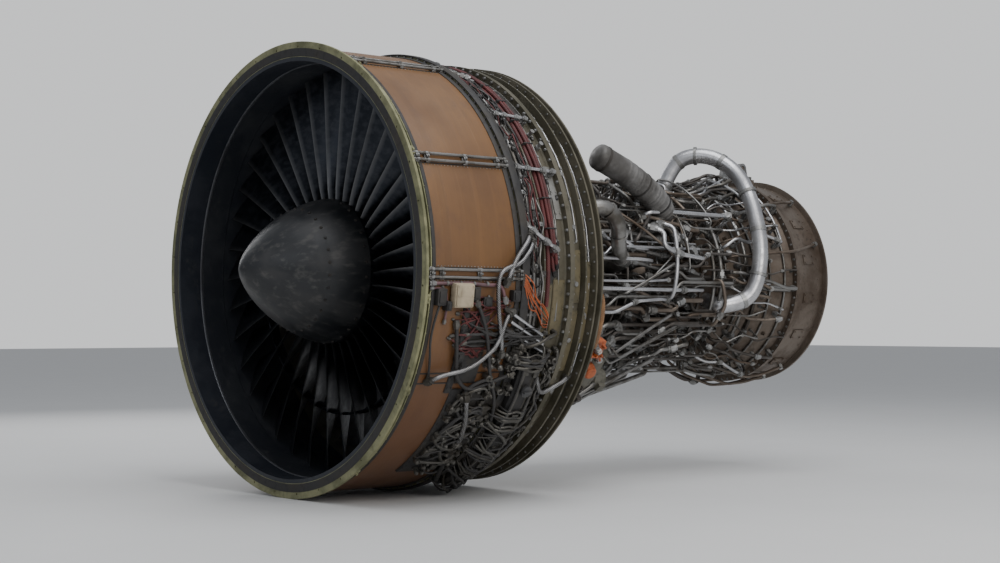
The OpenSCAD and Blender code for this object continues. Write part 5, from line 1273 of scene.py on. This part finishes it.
def over_tank(x0, x1, clocks, rise):
    """Places of a line that climbs over the tank from the wrap's edge to the case behind it."""
    start, first, middle, end = clocks
    return [(x0, start, 1.270), (x0, start, 1.300), (0.728, first, TANK_TOP),
            (0.790, middle, TANK_TOP + rise), (0.850, end, TANK_TOP), (x1, end, 1.262), (x1, end, 1.217)]


for _ in range(26):
    x0, x1 = dice.uniform(0.34, 0.46), dice.uniform(0.55, 0.645)
    clock, turn = dice.uniform(122, 150), dice.uniform(-6, 6)
    low_line(dice.choice(LINE_KINDS), [
        (x0, clock, 1.270), (x0, clock, 1.292), (x0 + 0.05, clock + turn, 1.300 + dice.uniform(0, 0.012)),
        (x1 - 0.05, clock + turn * 1.5, 1.300 + dice.uniform(0, 0.012)), (x1, clock + turn, 1.292),
        (x1, clock + turn, 1.270)], dice.choice((0.005, 0.007, 0.010)))
for _ in range(30):
    x0, x1 = dice.uniform(0.64, 0.715), dice.uniform(0.870, 1.02)
    clock, turn = dice.uniform(108, 160), dice.uniform(-8, 8)
    if 109 < clock + turn * 0.6 < 130:
        clock, turn = clock + 24, abs(turn)
    clocks = (clock, clock + turn * 0.3, clock + turn * 0.6, clock + turn)
    low_line(dice.choice(LINE_KINDS), over_tank(x0, x1, clocks, 0.006), dice.choice((0.004, 0.006, 0.009)))
for i in range(14):
    x0, x1 = dice.uniform(0.64, 0.71), dice.uniform(0.875, 0.96)
    clock = dice.uniform(109.5, 115.5) if i % 2 else dice.uniform(124.5, 132)
    low_line(dice.choice(LINE_KINDS),
             over_tank(x0, x1, (clock, clock, clock + dice.uniform(-0.8, 0.8), clock), 0.005),
             dice.choice((0.005, 0.007, 0.010)))
for i in range(8):
    x, start = (0.738, 0.842)[i % 2] + dice.uniform(-0.006, 0.006), dice.uniform(108, 112)
    sweep = dice.uniform(18, 40)
    low_line(dice.choice(LINE_KINDS), [
        (x, start, SKIN_R), (x, start, 1.335),
        *((x + dice.uniform(-0.004, 0.004), start + sweep * t, 1.346) for t in (0.15, 0.4, 0.65, 0.85)),
        (x, start + sweep, 1.335)], dice.choice((0.004, 0.006)))
for _ in range(22):
    x, start = dice.uniform(0.875, 1.030), dice.uniform(108, 150)
    sweep, level = dice.uniform(8, 22), dice.uniform(1.232, 1.262)
    low_line(dice.choice(LINE_KINDS), [
        (x, start, SKIN_R), (x, start + 0.5, level),
        *((min(1.032, max(0.872, x + dice.uniform(-0.03, 0.03))), start + sweep * t, level)
          for t in (0.2, 0.4, 0.6, 0.8)),
        (x, start + sweep - 0.5, level), (x, start + sweep, SKIN_R)], dice.choice((0.004, 0.007, 0.010)))
# The lines and nuts low on the case wear the darker copy of tube_steel, as painted shade.
tubing("lower_lines", "tube_steel", lower["tube_steel"], "shaded_tube", nuts)
tubing("lower_sleeves", "dark_paint", lower["dark_paint"], "black_sleeve", nuts)
piece(nuts, "hose_nuts", "casing", "steel", "shaded_tube")

# %% [markdown]
# Between the lines stand valves, canisters and unions, all of a few kinds in two or three sizes. Two turned
# outlines and a block are enough, because each is small and half hidden, and only their number and their
# sparkle are seen.

# %% Valves and canisters
dice = random.Random(5)
VALVE = stepped((0.020, 0.012), (0.013, 0.030), (0.018, 0.046)) + [(0.050, 0.013), (0.058, 0.009)]
CANISTER = [(0.0, 0.016), (0.006, 0.022), (0.050, 0.022), (0.056, 0.016), (0.056, 0.008), (0.070, 0.008)]
TANK_BLOCK_CLOCKS = (113.5, 115.5, 125, 127.5, 132, 136, 141, 145, 151, 155)
valves = bmesh.new()
canisters = bmesh.new()
for i in range(64):
    x, clock = dice.uniform(0.49, 1.03), dice.uniform(107.5, 122)
    if 0.715 < x < 0.862 and clock > 111:
        continue
    foot = OVER_WRAP - 0.004 if x < 0.654 else 1.286 if x < 0.712 else SKIN_R - 0.002
    stand = place(x, clock, foot) @ Matrix.Rotation(dice.uniform(-0.4, 0.4), 4, "Y")
    if i % 3:
        barrel(valves, stand @ Matrix.Scale(dice.choice((0.65, 0.8, 1.0)), 4), VALVE, 10)
    else:
        barrel(canisters, stand @ Matrix.Scale(dice.choice((0.8, 1.0)), 4), CANISTER, 12)
for _ in range(34):
    stand = place(dice.uniform(0.35, 0.64), dice.uniform(122, 151), OVER_WRAP + 0.004)
    barrel(valves, stand @ Matrix.Scale(dice.choice((0.6, 0.8)), 4), VALVE, 10)
for _ in range(16):
    stand = place(dice.uniform(0.36, 0.62), dice.uniform(123, 150), OVER_WRAP + 0.005)
    block(canisters, stand, (dice.choice((0.03, 0.05)), dice.choice((0.03, 0.06)),
                             dice.choice((0.018, 0.030))), 0.004)
for i in range(46):
    stand = place(dice.uniform(0.875, 1.030), dice.uniform(110, 164), SKIN_R - 0.002)
    barrel(valves if i % 3 else canisters, stand @ Matrix.Scale(dice.choice((0.6, 0.8)), 4),
           VALVE if i % 3 else CANISTER, 10)
for _ in range(12):
    stand = place(dice.uniform(0.745, 0.830), dice.choice(TANK_BLOCK_CLOCKS), 1.336)
    block(canisters, stand, (dice.choice((0.025, 0.040)), dice.choice((0.03, 0.05)),
                             dice.choice((0.010, 0.016))), 0.003)
# The valves and canisters wear the darker copy of tube_steel, as painted shade.
piece(valves, "lower_valves", "casing", "tube_steel", "shaded_tube")
piece(canisters, "lower_canisters", "casing", "steel", "shaded_tube")

# %% [markdown]
# ## Ducts of the core
# Three large ducts stand out from the core: a dark lagged one high on its front, a bright bleed duct that
# climbs over the turbine, and a dull one bent like an S behind the fan frame. The first two follow the
# frame's own routes with smooth bends in place of its short straight pieces, and all get the flanges and
# clamps that join them.

# %% Bleed duct
BLEED = [(2.9859, 8, 0.4843), (2.9859, 8, 0.6387), (3.0659, 12, 0.8209), (3.1860, 22, 0.8803),
         (3.2707, 36, 0.8486), (3.2759, 56, 0.7694), (3.2457, 80, 0.7259), (3.1657, 100, 0.6981),
         (2.9859, 108, 0.6110), (2.9859, 108, 0.4843)]


def ring_on(bm, line, share, profile):
    """A turned collar round a line, at a share of its length."""
    i = min(len(line) - 2, int(share * (len(line) - 1)))
    barrel(bm, facing_along(line[i], line[i + 1] - line[i]), profile, 24)


def flat_band(bm, line, share, half, r, rise):
    """A collar with a flat top: half its width, its inner radius and its rise."""
    ring_on(bm, line, share, [(-half, r), (-half, r + rise), (half, r + rise), (half, r)])


bm = bmesh.new()
bleed_line = smooth_line(BLEED, 8)
run_tubes(bm, [(bleed_line, 0.052)], 24)
bleed = piece(bm, "bleed_pipe", "casing", "bright_tube", sharp=60)
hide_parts("bleed_duct")
bm = bmesh.new()
for share in (0.02, 0.24, 0.50, 0.76, 0.97):
    flat_band(bm, bleed_line, share, 0.010, 0.054, 0.008)
for share in (0.14, 0.36, 0.63, 0.88):
    flat_band(bm, bleed_line, share, 0.014, 0.0535, 0.002)
piece(bm, "bleed_pipe_clamps", "casing", "steel")

# %% [markdown]
# The lagged duct wears its foil blanket in rolls, so a low ring stands at every seam, two dark bands tie
# it, and a domed cap closes the front end.

# %% Lagged duct
LAGGED = [(2.6308, 50, 0.4543), (2.6308, 50, 0.5633), (2.5008, 46, 0.6854), (2.3318, 42, 0.7726),
          (2.1498, 38, 0.8423), (1.9808, 34, 0.8903)]
bm = bmesh.new()
lagged_line = smooth_line(LAGGED, 8)
run_tubes(bm, [(lagged_line, 0.083)], 24)
for i in range(1, 15):
    ring_on(bm, lagged_line, i / 15, [(-0.016, 0.080), (-0.012, 0.0845), (0.012, 0.0845), (0.016, 0.080)])
lagged = piece(bm, "lagged_duct", "casing", "lagging", sharp=60)
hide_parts("insulated_duct")

bm = bmesh.new()
front_end = facing_along(lagged_line[-1], lagged_line[-1] - lagged_line[-2])
ring_on(bm, lagged_line, 0.0, stepped((0.088, 0.012)))
for share in (0.33, 0.66):
    flat_band(bm, lagged_line, share, 0.007, 0.082, 0.0055)
barrel(bm, front_end, [(-0.050, 0.0855), (-0.040, 0.0875), (-0.032, 0.0855)], 24)
piece(bm, "lagged_duct_bands", "casing", "dark_paint")
bm = bmesh.new()
barrel(bm, front_end, [(-0.030, 0.0845), (-0.006, 0.0845), (0.008, 0.079), (0.019, 0.066), (0.026, 0.045),
                       (0.029, 0.020)], 28)
piece(bm, "lagged_duct_cap", "casing", "lagging", sharp=60)

# %% [markdown]
# The third duct isn't in the frame, so its whole line is drawn here: up from the core behind the fan frame,
# aft, and down again into the compressor case. Four collars mark its joints.

# %% Duct bent like an S
bm = bmesh.new()
s_line = smooth_line([(1.400, 66, 0.470), (1.500, 66, 0.640), (1.620, 63, 0.800), (1.760, 63, 0.865),
                      (1.880, 68, 0.830), (1.945, 75, 0.740), (2.040, 80, 0.640), (2.130, 82, 0.560),
                      (2.170, 82, 0.385)], 6)
run_tubes(bm, [(s_line, 0.048)], 20)
for share in (0.12, 0.40, 0.62, 0.86):
    flat_band(bm, s_line, share, 0.008, 0.049, 0.008)
piece(bm, "start_air_duct", "casing", "tube_steel", sharp=60)

# %% [markdown]
# ## The core's own pipes
# The frame's core pipes are the air and drain lines that start from the compressor and the combustor. They
# keep their routes here, get round bends and union nuts, and the fuel manifold gets a short bent pipe to
# each nozzle.

# %% Smooth core pipes
CORE_PIPE_R = 0.014
nuts = bmesh.new()
lines = []
for a in (60, 71, 80, 101, 113, 125, 138, -20, -32, -48, -62, -78):
    lines.append([(1.935, a, core_r(1.921) - 0.002), (1.935, a, 0.530), (2.210, a + 2, 0.572),
                  (2.450, a + 6, 0.578), (2.580, a + 6, 0.548), (2.580, a + 6, 0.4530)])
for a in (66, 84, 107, 122, -26, -55, -70):
    lines.append([(2.675, a, 0.4530), (2.675, a, 0.540), (2.780, a + 4, 0.568), (2.870, a + 8, 0.550),
                  (2.870, a + 8, 0.4830)])
smooth = [(smooth_line(stations, 6), CORE_PIPE_R) for stations in lines]
cores = tubing("core_air_pipes", "tube_steel", smooth, nuts=nuts, sides=12)
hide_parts("core_pipes")
for line, r in smooth:
    for i in (len(line) // 3, 2 * len(line) // 3):
        union(nuts, line[i], line[i + 1] - line[i], r)

# %% [markdown]
# The fuel manifold is the frame's ring round the combustor. A short bent pipe leads from it to each of the
# twenty nozzles. They are all alike, so one loop lays them out.

# %% Fuel pigtails
NOZZLE_X = 2.490
pigtails = []
for i in range(20):
    a = i * 18 + 9
    pigtails.append((route((2.452, a + 5, 0.512), (2.452, a + 5, 0.535), (NOZZLE_X, a + 2, 0.545),
                           (NOZZLE_X, a, 0.530), (NOZZLE_X, a, 0.500), bend=0.02), 0.005))
    barrel(nuts, place(NOZZLE_X, a, 0.488), stepped((0.013, 0.010), (0.009, 0.024)), 8)
tubing("fuel_pigtails", "bright_tube", pigtails, nuts=nuts, sides=6)
piece(nuts, "core_pipe_nuts", "casing", "steel")

# %% [markdown]
# ## The tangle round the core
# Seen from the side, the core hides under its pipes: air to the seals, oil to the bearings, fuel, drains
# and wiring, brown and grey from heat, with a few bright new ones. Each run here starts on a case or
# flange, climbs to its own level, runs along with a few jogs and comes down on another flange. The
# compressor's moving rings stay clear below, because no run comes under its level there.

# %% Runs along the core
# Station and radius of each flange that a run can stand on.
FEET = [(1.475, 0.450), (2.325, 0.434), (2.452, 0.452), (2.790, 0.516), (3.050, 0.516)]
dice = random.Random(17)
tangle = {"core_alloy": [], "tube_steel": [], "hot_alloy": [], "bright_tube": []}
tangle_nuts = bmesh.new()


def add_run(stations, r, kind=None):
    """Puts a run among the tangle, in a finish of its own."""
    kind = kind or dice.choices(list(tangle), (40, 32, 16, 12))[0]
    tangle[kind].append((route(*stations, bend=0.03), r))


def fore_aft(clock, first, last, level, r, jogs):
    """A run along the shaft from one foot to another, with a few steps to the side."""
    (x0, low0), (x1, low1) = FEET[first], FEET[last]
    stations = [(x0, clock, low0), (x0, clock, level)]
    for i in range(jogs):
        x = x0 + (x1 - x0) * (i + dice.uniform(0.6, 1.0)) / (jogs + 0.8)
        stations.append((x, clock, level))
        clock += dice.choice((-1, 1)) * dice.uniform(3, 9)
        level += dice.uniform(-0.012, 0.016)
        stations.append((x + dice.uniform(0.03, 0.09), clock, level))
    add_run(stations + [(x1, clock, level), (x1, clock, low1)], r)


for i in range(96):
    clock = -168 + 336 * i / 95 + dice.uniform(-2, 2)
    first = dice.choice((0, 0, 0, 1, 2))
    last = dice.choice((3, 4) if first else (1, 3, 4))
    fore_aft(clock, first, last, 0.608 + dice.uniform(0.0, 0.05),
             dice.choice((0.006, 0.008, 0.010, 0.013, 0.016)), dice.choice((1, 2, 3)))
for i in range(34):
    clock = -160 + 320 * i / 33 + dice.uniform(-4, 4)
    fore_aft(clock, dice.choice((1, 2, 3)), 4, 0.560 + dice.uniform(0.0, 0.06),
             dice.choice((0.006, 0.009, 0.014)), dice.choice((0, 1, 2)))
print(sum(len(runs) for runs in tangle.values()), "runs from flange to flange")

# %% [markdown]
# Other runs go round the core or cross it at a slant, and the turbine has its own, which follow its cone.
# The same generator deals them out after the first ones.

# %% Runs round the core and over the turbine
for _ in range(34):
    x, start = dice.uniform(2.04, 3.02), dice.uniform(-150, 110)
    sweep, level = dice.uniform(22, 75), 0.575 + dice.uniform(0.0, 0.10)
    low = max(core_r(x), 0.40)
    add_run([(x, start, low), (x, start, level),
             (x + dice.uniform(-0.05, 0.05), start + sweep / 2, level + 0.01),
             (x, start + sweep, level), (x, start + sweep, low)], dice.choice((0.007, 0.010, 0.013)))
for _ in range(30):
    x0, clock = dice.uniform(2.05, 2.55), dice.uniform(-150, 140)
    x1 = x0 + dice.uniform(0.25, 0.5)
    turn = dice.choice((-1, 1)) * dice.uniform(12, 38)
    level = 0.600 + dice.uniform(0.0, 0.08)
    add_run([(x0, clock, core_r(x0)), (x0, clock, level), (x1, clock + turn, level),
             (x1, clock + turn, core_r(x1))], dice.choice((0.006, 0.009, 0.012)))
for i in range(66):
    clock = -168 + 336 * i / 65 + dice.uniform(-3, 3)
    x1 = dice.choice((3.40, 3.52, 3.61))
    stations = [(3.075, clock, 0.515), (3.075, clock, 0.600), (3.16, clock + dice.uniform(-5, 5), 0.640)]
    for x in (3.26, 3.38, 3.50):
        if x < x1:
            clock += dice.uniform(-5, 5)
            stations.append((x, clock, core_r(x) + 0.085 + dice.uniform(0.0, 0.03)))
    stations += [(x1, clock, core_r(x1) + 0.07), (x1, clock, core_r(x1) - 0.004)]
    add_run(stations, dice.choice((0.006, 0.008, 0.011)))
for _ in range(16):
    x, start, sweep = dice.uniform(3.16, 3.58), dice.uniform(-160, 120), dice.uniform(25, 60)
    low, level = core_r(x), core_r(x) + dice.uniform(0.06, 0.10)
    add_run([(x, start, low), (x, start, level), (x, start + sweep, level), (x, start + sweep, low)],
            dice.choice((0.008, 0.012)))
print(sum(len(runs) for runs in tangle.values()), "runs with those round the core")

# %% [markdown]
# Seven bright pipes are seen clearly, so their places are listed one by one, and the far side gets the same
# seven. Then the runs of each finish become one piece, and union nuts are strewn along them.

# %% The bright runs, and all of them as pieces
BRIGHT = [
    ([(2.325, 52, 0.434), (2.40, 52, 0.66), (2.616, 52.3, 0.675), (3.122, 54.3, 0.690), (3.122, 54.3, 0.50)],
     0.015),
    ([(1.475, 80, 0.450), (1.475, 80, 0.640), (1.894, 81.6, 0.668), (2.209, 81.9, 0.672), (2.325, 82, 0.640),
      (2.325, 82, 0.434)], 0.012),
    ([(1.475, 96.5, 0.450), (1.475, 96.5, 0.640), (1.89, 97.7, 0.670), (2.580, 97.9, 0.672),
      (2.790, 98, 0.640), (2.790, 98, 0.516)], 0.013),
    ([(1.475, 94, 0.450), (1.475, 94, 0.630), (2.20, 93.5, 0.665), (2.45, 92.5, 0.665), (2.45, 92.5, 0.455)],
     0.009),
    ([(1.475, 112, 0.450), (1.475, 112, 0.640), (1.98, 110.1, 0.685), (2.146, 104.1, 0.685),
      (2.372, 102.7, 0.685), (2.46, 104, 0.660), (2.46, 104, 0.455)], 0.011),
    ([(2.450, 58, 0.455), (2.470, 58, 0.640), (2.528, 63.1, 0.690), (2.463, 99.3, 0.690),
      (2.463, 103.5, 0.66), (2.463, 103.5, 0.455)], 0.013),
    ([(2.325, 62, 0.434), (2.36, 62, 0.655), (2.43, 66, 0.685), (2.40, 74, 0.685), (2.50, 78, 0.680),
      (2.790, 80, 0.650), (2.790, 80, 0.516)], 0.016)]
FAR_SIDE_SHIFT = 3
for side, moved in ((1, 0), (-1, FAR_SIDE_SHIFT)):
    for stations, r in BRIGHT:
        add_run([(x, clock * side - moved, level) for x, clock, level in stations], r, "bright_tube")
for kind, runs in tangle.items():
    tubing(f"core_runs_{kind}", kind, runs, nuts=tangle_nuts)
for runs in tangle.values():
    for points, r in runs:
        for i in range(4, len(points) - 4, 7):
            if dice.random() < 0.5:
                union(tangle_nuts, points[i], points[i + 1] - points[i], r)
piece(tangle_nuts, "core_run_nuts", "casing", "steel")

# %% [markdown]
# The flanges carry upright brackets with a small shelf and a bolt, which hold the runs at their level.
# Between them stand valves and small boxes on the cases, brown from the heat.

# %% Brackets and valves on the core
bm = bmesh.new()
for i in range(64):
    clock = -165 + 330 * i / 63 + dice.uniform(-1.5, 1.5)
    x, low = dice.choice(FEET[1:])
    high = 0.610 + dice.uniform(0.0, 0.05)
    block(bm, place(x, clock, low - 0.004), (0.004, 0.022, high - low), 0.0)
    block(bm, place(x + 0.012, clock, high - 0.006), (0.028, 0.026, 0.005), 0.0015)
    bolt(bm, place(x + 0.014, clock, high - 0.001), 0.006, 0.007)
piece(bm, "core_brackets", "casing", "core_alloy")

bm = bmesh.new()
for i in range(34):
    x, clock = dice.uniform(2.02, 2.98), dice.uniform(-165, 165)
    tall = dice.uniform(0.05, 0.11)
    stand = place(x, clock, core_r(x) - 0.006)
    if i % 2:
        block(bm, stand, (dice.uniform(0.04, 0.09), dice.uniform(0.04, 0.08), tall), 0.005)
        for y in (-0.012, 0.012):
            bolt(bm, stand @ shift(y=y, z=tall), 0.006, 0.006)
    else:
        wide = round(dice.uniform(0.018, 0.032), 3)
        barrel(bm, stand, stepped((wide + 0.008, 0.010), (wide, tall), (wide * 0.6, tall + 0.02)), 14)
piece(bm, "core_valves", "casing", "hot_alloy")

# %% [markdown]
# ## Below the fan frame
# Behind the frame's last rib a tan sleeve carries the generator's heavy cables down from a forked bracket.
# They end in an orange terminal block with a round cap, over the black generator.

# %% Cable sleeve and terminal block
nuts = bmesh.new()
tubing("forked_bracket", "bright_tube", [
    (route((1.293, 94.0, 1.205), (1.310, 94.2, 1.212), (1.360, 97.0, 1.175), (1.380, 98.2, 1.155),
           bend=0.02), 0.008),
    (route((1.293, 98.6, 1.205), (1.315, 98.4, 1.205), (1.360, 97.4, 1.170), (1.380, 98.2, 1.150),
           bend=0.02), 0.008)], nuts=nuts)
tubing("tan_cable_sleeve", "orange_primer", [
    (route((1.365, 97.5, 1.165), (1.390, 98.6, 1.150), (1.450, 103.0, 1.100), (1.520, 110.0, 1.030),
           (1.600, 117.0, 0.955), bend=0.05), 0.026)], "tan_sleeve")
tubing("orange_cables", "orange_primer", [
    (route((1.600 + 0.02 * i, 116.0 + i, 0.965), (1.66 + 0.01 * i, 119.0 + 1.2 * i, 0.945 - 0.012 * i),
           (1.70 + 0.012 * i, 121.5 + i, 0.935), (1.700 + 0.015 * i, 122.0 + 1.1 * i, 0.885),
           bend=0.02), 0.012) for i in range(-3, 4)], nuts=nuts)
piece(nuts, "bracket_nuts", "casing", "steel")

bm = bmesh.new()
terminal = place(1.655, 119.5, 0.880)
block(bm, terminal, (0.130, 0.120, 0.060), 0.008)
for x in (-0.04, 0.0, 0.04):
    for y in (-0.03, 0.03):
        barrel(bm, terminal @ shift(x, y, 0.058), stepped((0.013, 0.020), (0.009, 0.032)), 10)
barrel(bm, place(1.700, 130.0, 0.885), [(0.0, 0.050), (0.030, 0.050), (0.036, 0.044), (0.060, 0.040),
                                        (0.068, 0.030)], 24)
piece(bm, "terminal_block", "casing", "orange_primer")

# %% [markdown]
# The generator is clamped by three rings and its end cover is bolted on. The gearbox curves round the
# engine with bolts along both edges of its two faces, and caps and plugs close its spare drives.

# %% Fittings of the gearbox and generator
GENERATOR_CLOCK, GEARBOX_R = 126, 0.790
bm = bmesh.new()
for x in (1.470, 1.540, 1.700):
    stand = place(x, GENERATOR_CLOCK, GEARBOX_R) @ rotate(90, "Y")
    barrel(bm, stand, [(-0.006, 0.1045), (-0.006, 0.1085), (0.006, 0.1085), (0.006, 0.1045)], 32)
for i in range(16):
    a = i * math.pi / 8
    clock = GENERATOR_CLOCK + math.degrees(0.095 * math.sin(a) / GEARBOX_R)
    bolt(bm, place(1.454, clock, GEARBOX_R + 0.088 * math.cos(a), "forward"), 0.006, 0.006)
for clock in range(124, 214, 4):
    for r in (GEARBOX_R - 0.062, GEARBOX_R + 0.062):
        bolt(bm, place(1.724, clock, r, "forward"), 0.0065, 0.006)
        bolt(bm, place(1.876, clock, r, "aft"), 0.0065, 0.006)
for clock in (134, 150, 158, 166, 184, 196, 204):
    barrel(bm, place(1.722, clock, GEARBOX_R, "forward"),
           [(0.0, 0.034), (0.012, 0.034), (0.014, 0.028), (0.026, 0.026), (0.026, 0.012), (0.040, 0.012)], 16)
    barrel(bm, place(1.80, clock, 0.863), stepped((0.020, 0.016), (0.012, 0.030)), 12)
piece(bm, "gearbox_fittings", "casing", "steel")

# %% [markdown]
# Oil and fuel lines leave the gearbox: long ones run aft and up to the core, and short ones loop from one
# drive pad to another. A seeded generator of their own places them, as for the tangle.

# %% Oil and fuel lines
dice = random.Random(29)
drains = []
for _ in range(26):
    clock = dice.uniform(118, 212)
    x0, level = dice.uniform(1.78, 1.86), dice.uniform(0.880, 0.905)
    x1 = dice.uniform(2.10, 2.75)
    drains.append((route((x0, clock, 0.862), (x0, clock, level),
                         (x0 + 0.1, clock + dice.uniform(-8, 8), level - 0.03),
                         (x1, clock + dice.uniform(-10, 10), 0.66), (x1, clock, core_r(x1))),
                   dice.choice((0.007, 0.010, 0.014))))
for _ in range(14):
    clock, turn = dice.uniform(122, 195), dice.uniform(8, 24)
    drains.append((route((1.735, clock, 0.718), (1.70, clock, 0.690), (1.69, clock + turn, 0.690),
                         (1.735, clock + turn, 0.718), bend=0.03), dice.choice((0.008, 0.011))))
nuts = bmesh.new()
tubing("oil_and_fuel_lines", "tube_steel", drains, nuts=nuts)
piece(nuts, "oil_line_nuts", "casing", "core_alloy")

# %% [markdown]
# ## Tank, boxes and the far side
# The oil tank hangs in two straps. The electronic box has a ribbed lid that sheds its heat, and it and the
# ignition boxes have round plugs.

# %% Tank straps and box lids
bm = bmesh.new()
for x in (0.752, 0.824):
    plate(bm, x - 0.008, x + 0.008, 1.332, 0.0075, 111.5, 158.5, 16)
for clock in (128, 138, 148):
    barrel(bm, place(0.788, clock, 1.336), stepped((0.014, 0.006), (0.008, 0.010)), 12)
for clock, top in ((-72, 1.3305), (-100, 1.286), (-114, 1.286)):
    for y in (-0.04, 0.04):
        for x in (0.740, 0.780, 0.820):
            bolt(bm, place(x, clock, top) @ shift(y=y, z=-0.001), 0.006, 0.005)
# The straps wear the darker copy of tube_steel, as painted shade.
piece(bm, "tank_straps", "casing", "steel", "shaded_tube")

bm = bmesh.new()
unit = place(0.780, -72, 1.329)
block(bm, unit, (0.104, 0.250, 0.006), 0.003)
for i in range(9):
    block(bm, unit @ shift(y=-0.100 + 0.025 * i, z=0.004), (0.088, 0.006, 0.010), 0.001)
for side in (-1, 1):
    for x in (-0.04, -0.013, 0.013, 0.04):
        barrel(bm, unit @ shift(x, side * 0.1479, -0.034) @ rotate(-90 * side, "X"),
               stepped((0.011, 0.010), (0.014, 0.022), (0.009, 0.030)), 10)
for clock in (-100, -114):
    for x in (0.750, 0.810):
        barrel(bm, place(x, clock - 3.6, 1.262), stepped((0.014, 0.020), (0.010, 0.030)), 10)
piece(bm, "control_unit_lid", "casing", "box_paint")

# %% [markdown]
# Sleeves join the plugs to the harness, and the far side of the case carries its own, thinner set of hoses.
# They follow the same habits as on the near side: up from the skin, along, and down again.

# %% Leads and lines of the far side
dice = random.Random(41)
nuts = bmesh.new()
leads = []
for i in range(8):
    x, clock = 0.735 + 0.013 * i, -64.5 + dice.uniform(-0.6, 0.6)
    leads.append((route((x, clock, 1.285), (x, clock + 2.5, 1.288), (x + 0.06, clock + 8, 1.262),
                        (0.900, clock + 12 + i, 1.250), bend=0.03), 0.0065))
for i in range(6):
    x, clock = 0.742 + 0.016 * i, -106.5 - dice.uniform(0, 2)
    leads.append((route((x, clock, 1.262), (x, clock + 4, 1.270), (0.93 + 0.01 * i, clock + 14, 1.250),
                        (1.000 + 0.005 * i, clock + 16, 1.235), (1.020, clock + 17, SKIN_R)), 0.006))
tubing("box_leads", "harness_sleeve", leads, nuts=nuts)
hoses = []
for _ in range(22):
    x0, x1, clock = dice.uniform(0.45, 0.80), dice.uniform(0.86, 1.03), -dice.uniform(118, 172)
    foot = 1.268 if x0 < WRAP_X1 else SKIN_R
    hoses.append((route((x0, clock, foot), (x0, clock, 1.300),
                        (x0 + 0.08, clock + dice.uniform(-7, 7), 1.305),
                        (x1, clock + dice.uniform(-9, 9), 1.268), (x1, clock + dice.uniform(-9, 9), SKIN_R)),
                  dice.choice((0.006, 0.009, 0.012))))
tubing("far_side_lines", "tube_steel", hoses, nuts=nuts)
for _ in range(26):
    stand = place(dice.uniform(0.72, 1.03), -dice.uniform(120, 172), SKIN_R - 0.002)
    barrel(nuts, stand @ Matrix.Scale(dice.choice((0.8, 1.0)), 4), VALVE, 10)
piece(nuts, "far_side_valves", "casing", "steel")

# %% [markdown]
# ## The back of the engine
# The turbine case has rows of borescope plugs between its cooling rings, and the exhaust frame has bolted
# pads over its struts, drain pipes that run forward from it, and pins in both mounts.

# %% Turbine and exhaust frame details
# Station, distance from the middle, height, length and radius of the pins in each mount.
MOUNT_PINS = ((1.361, 0.092, 0.775, 0.060, 0.020), (3.775, 0.070, 0.792, 0.050, 0.014))
bm = bmesh.new()
for i in range(4):
    x = 3.1837 + 0.1075 * i
    for j in range(12):
        barrel(bm, place(x, j * 30 + 12 * i, core_r(x) - 0.004), stepped((0.016, 0.010), (0.010, 0.024)), 8)
for i in range(16):
    clock = i * 22.5 + 11.25
    block(bm, place(3.795, clock, 0.672), (0.100, 0.070, 0.010), 0.003)
    for x in (3.758, 3.832):
        for y in (-0.024, 0.024):
            bolt(bm, place(x, clock, 0.681) @ shift(y=y), 0.0065, 0.006)
for i in range(60):
    barrel(bm, place(3.880, i * 6, 0.673), [(0.0, 0.0055), (0.004, 0.005), (0.006, 0.003)], 6)
for side in (-1, 1):
    for x, y, z, length, r in MOUNT_PINS:
        pin = shift(x, side * y - length / 2, z) @ rotate(-90, "X")
        barrel(bm, pin, [(0.0, r * 0.8), (0.004, r), (length - 0.004, r), (length, r * 0.8)], 20)
piece(bm, "turbine_pads", "casing", "hot_alloy")

nuts = bmesh.new()
tubing("exhaust_drains", "hot_alloy", [
    (route((3.87, clock, 0.672), (3.87, clock, 0.700), (3.70, clock + 4, 0.730), (3.56, clock + 6, 0.735),
           (3.30, clock + 6, 0.660), (3.12, clock + 6, 0.560), (3.12, clock + 6, 0.500)), 0.010)
    for clock in (150, 164, 176, 190, 204, -30, -50, 40, 70)], nuts=nuts)
piece(nuts, "exhaust_drain_nuts", "casing", "steel")

# %% [markdown]
# ## The end
# The last line prints how many triangles the new pieces add.

# %% Size and finish
print("triangles in new pieces:", sum(made_triangles.values()))
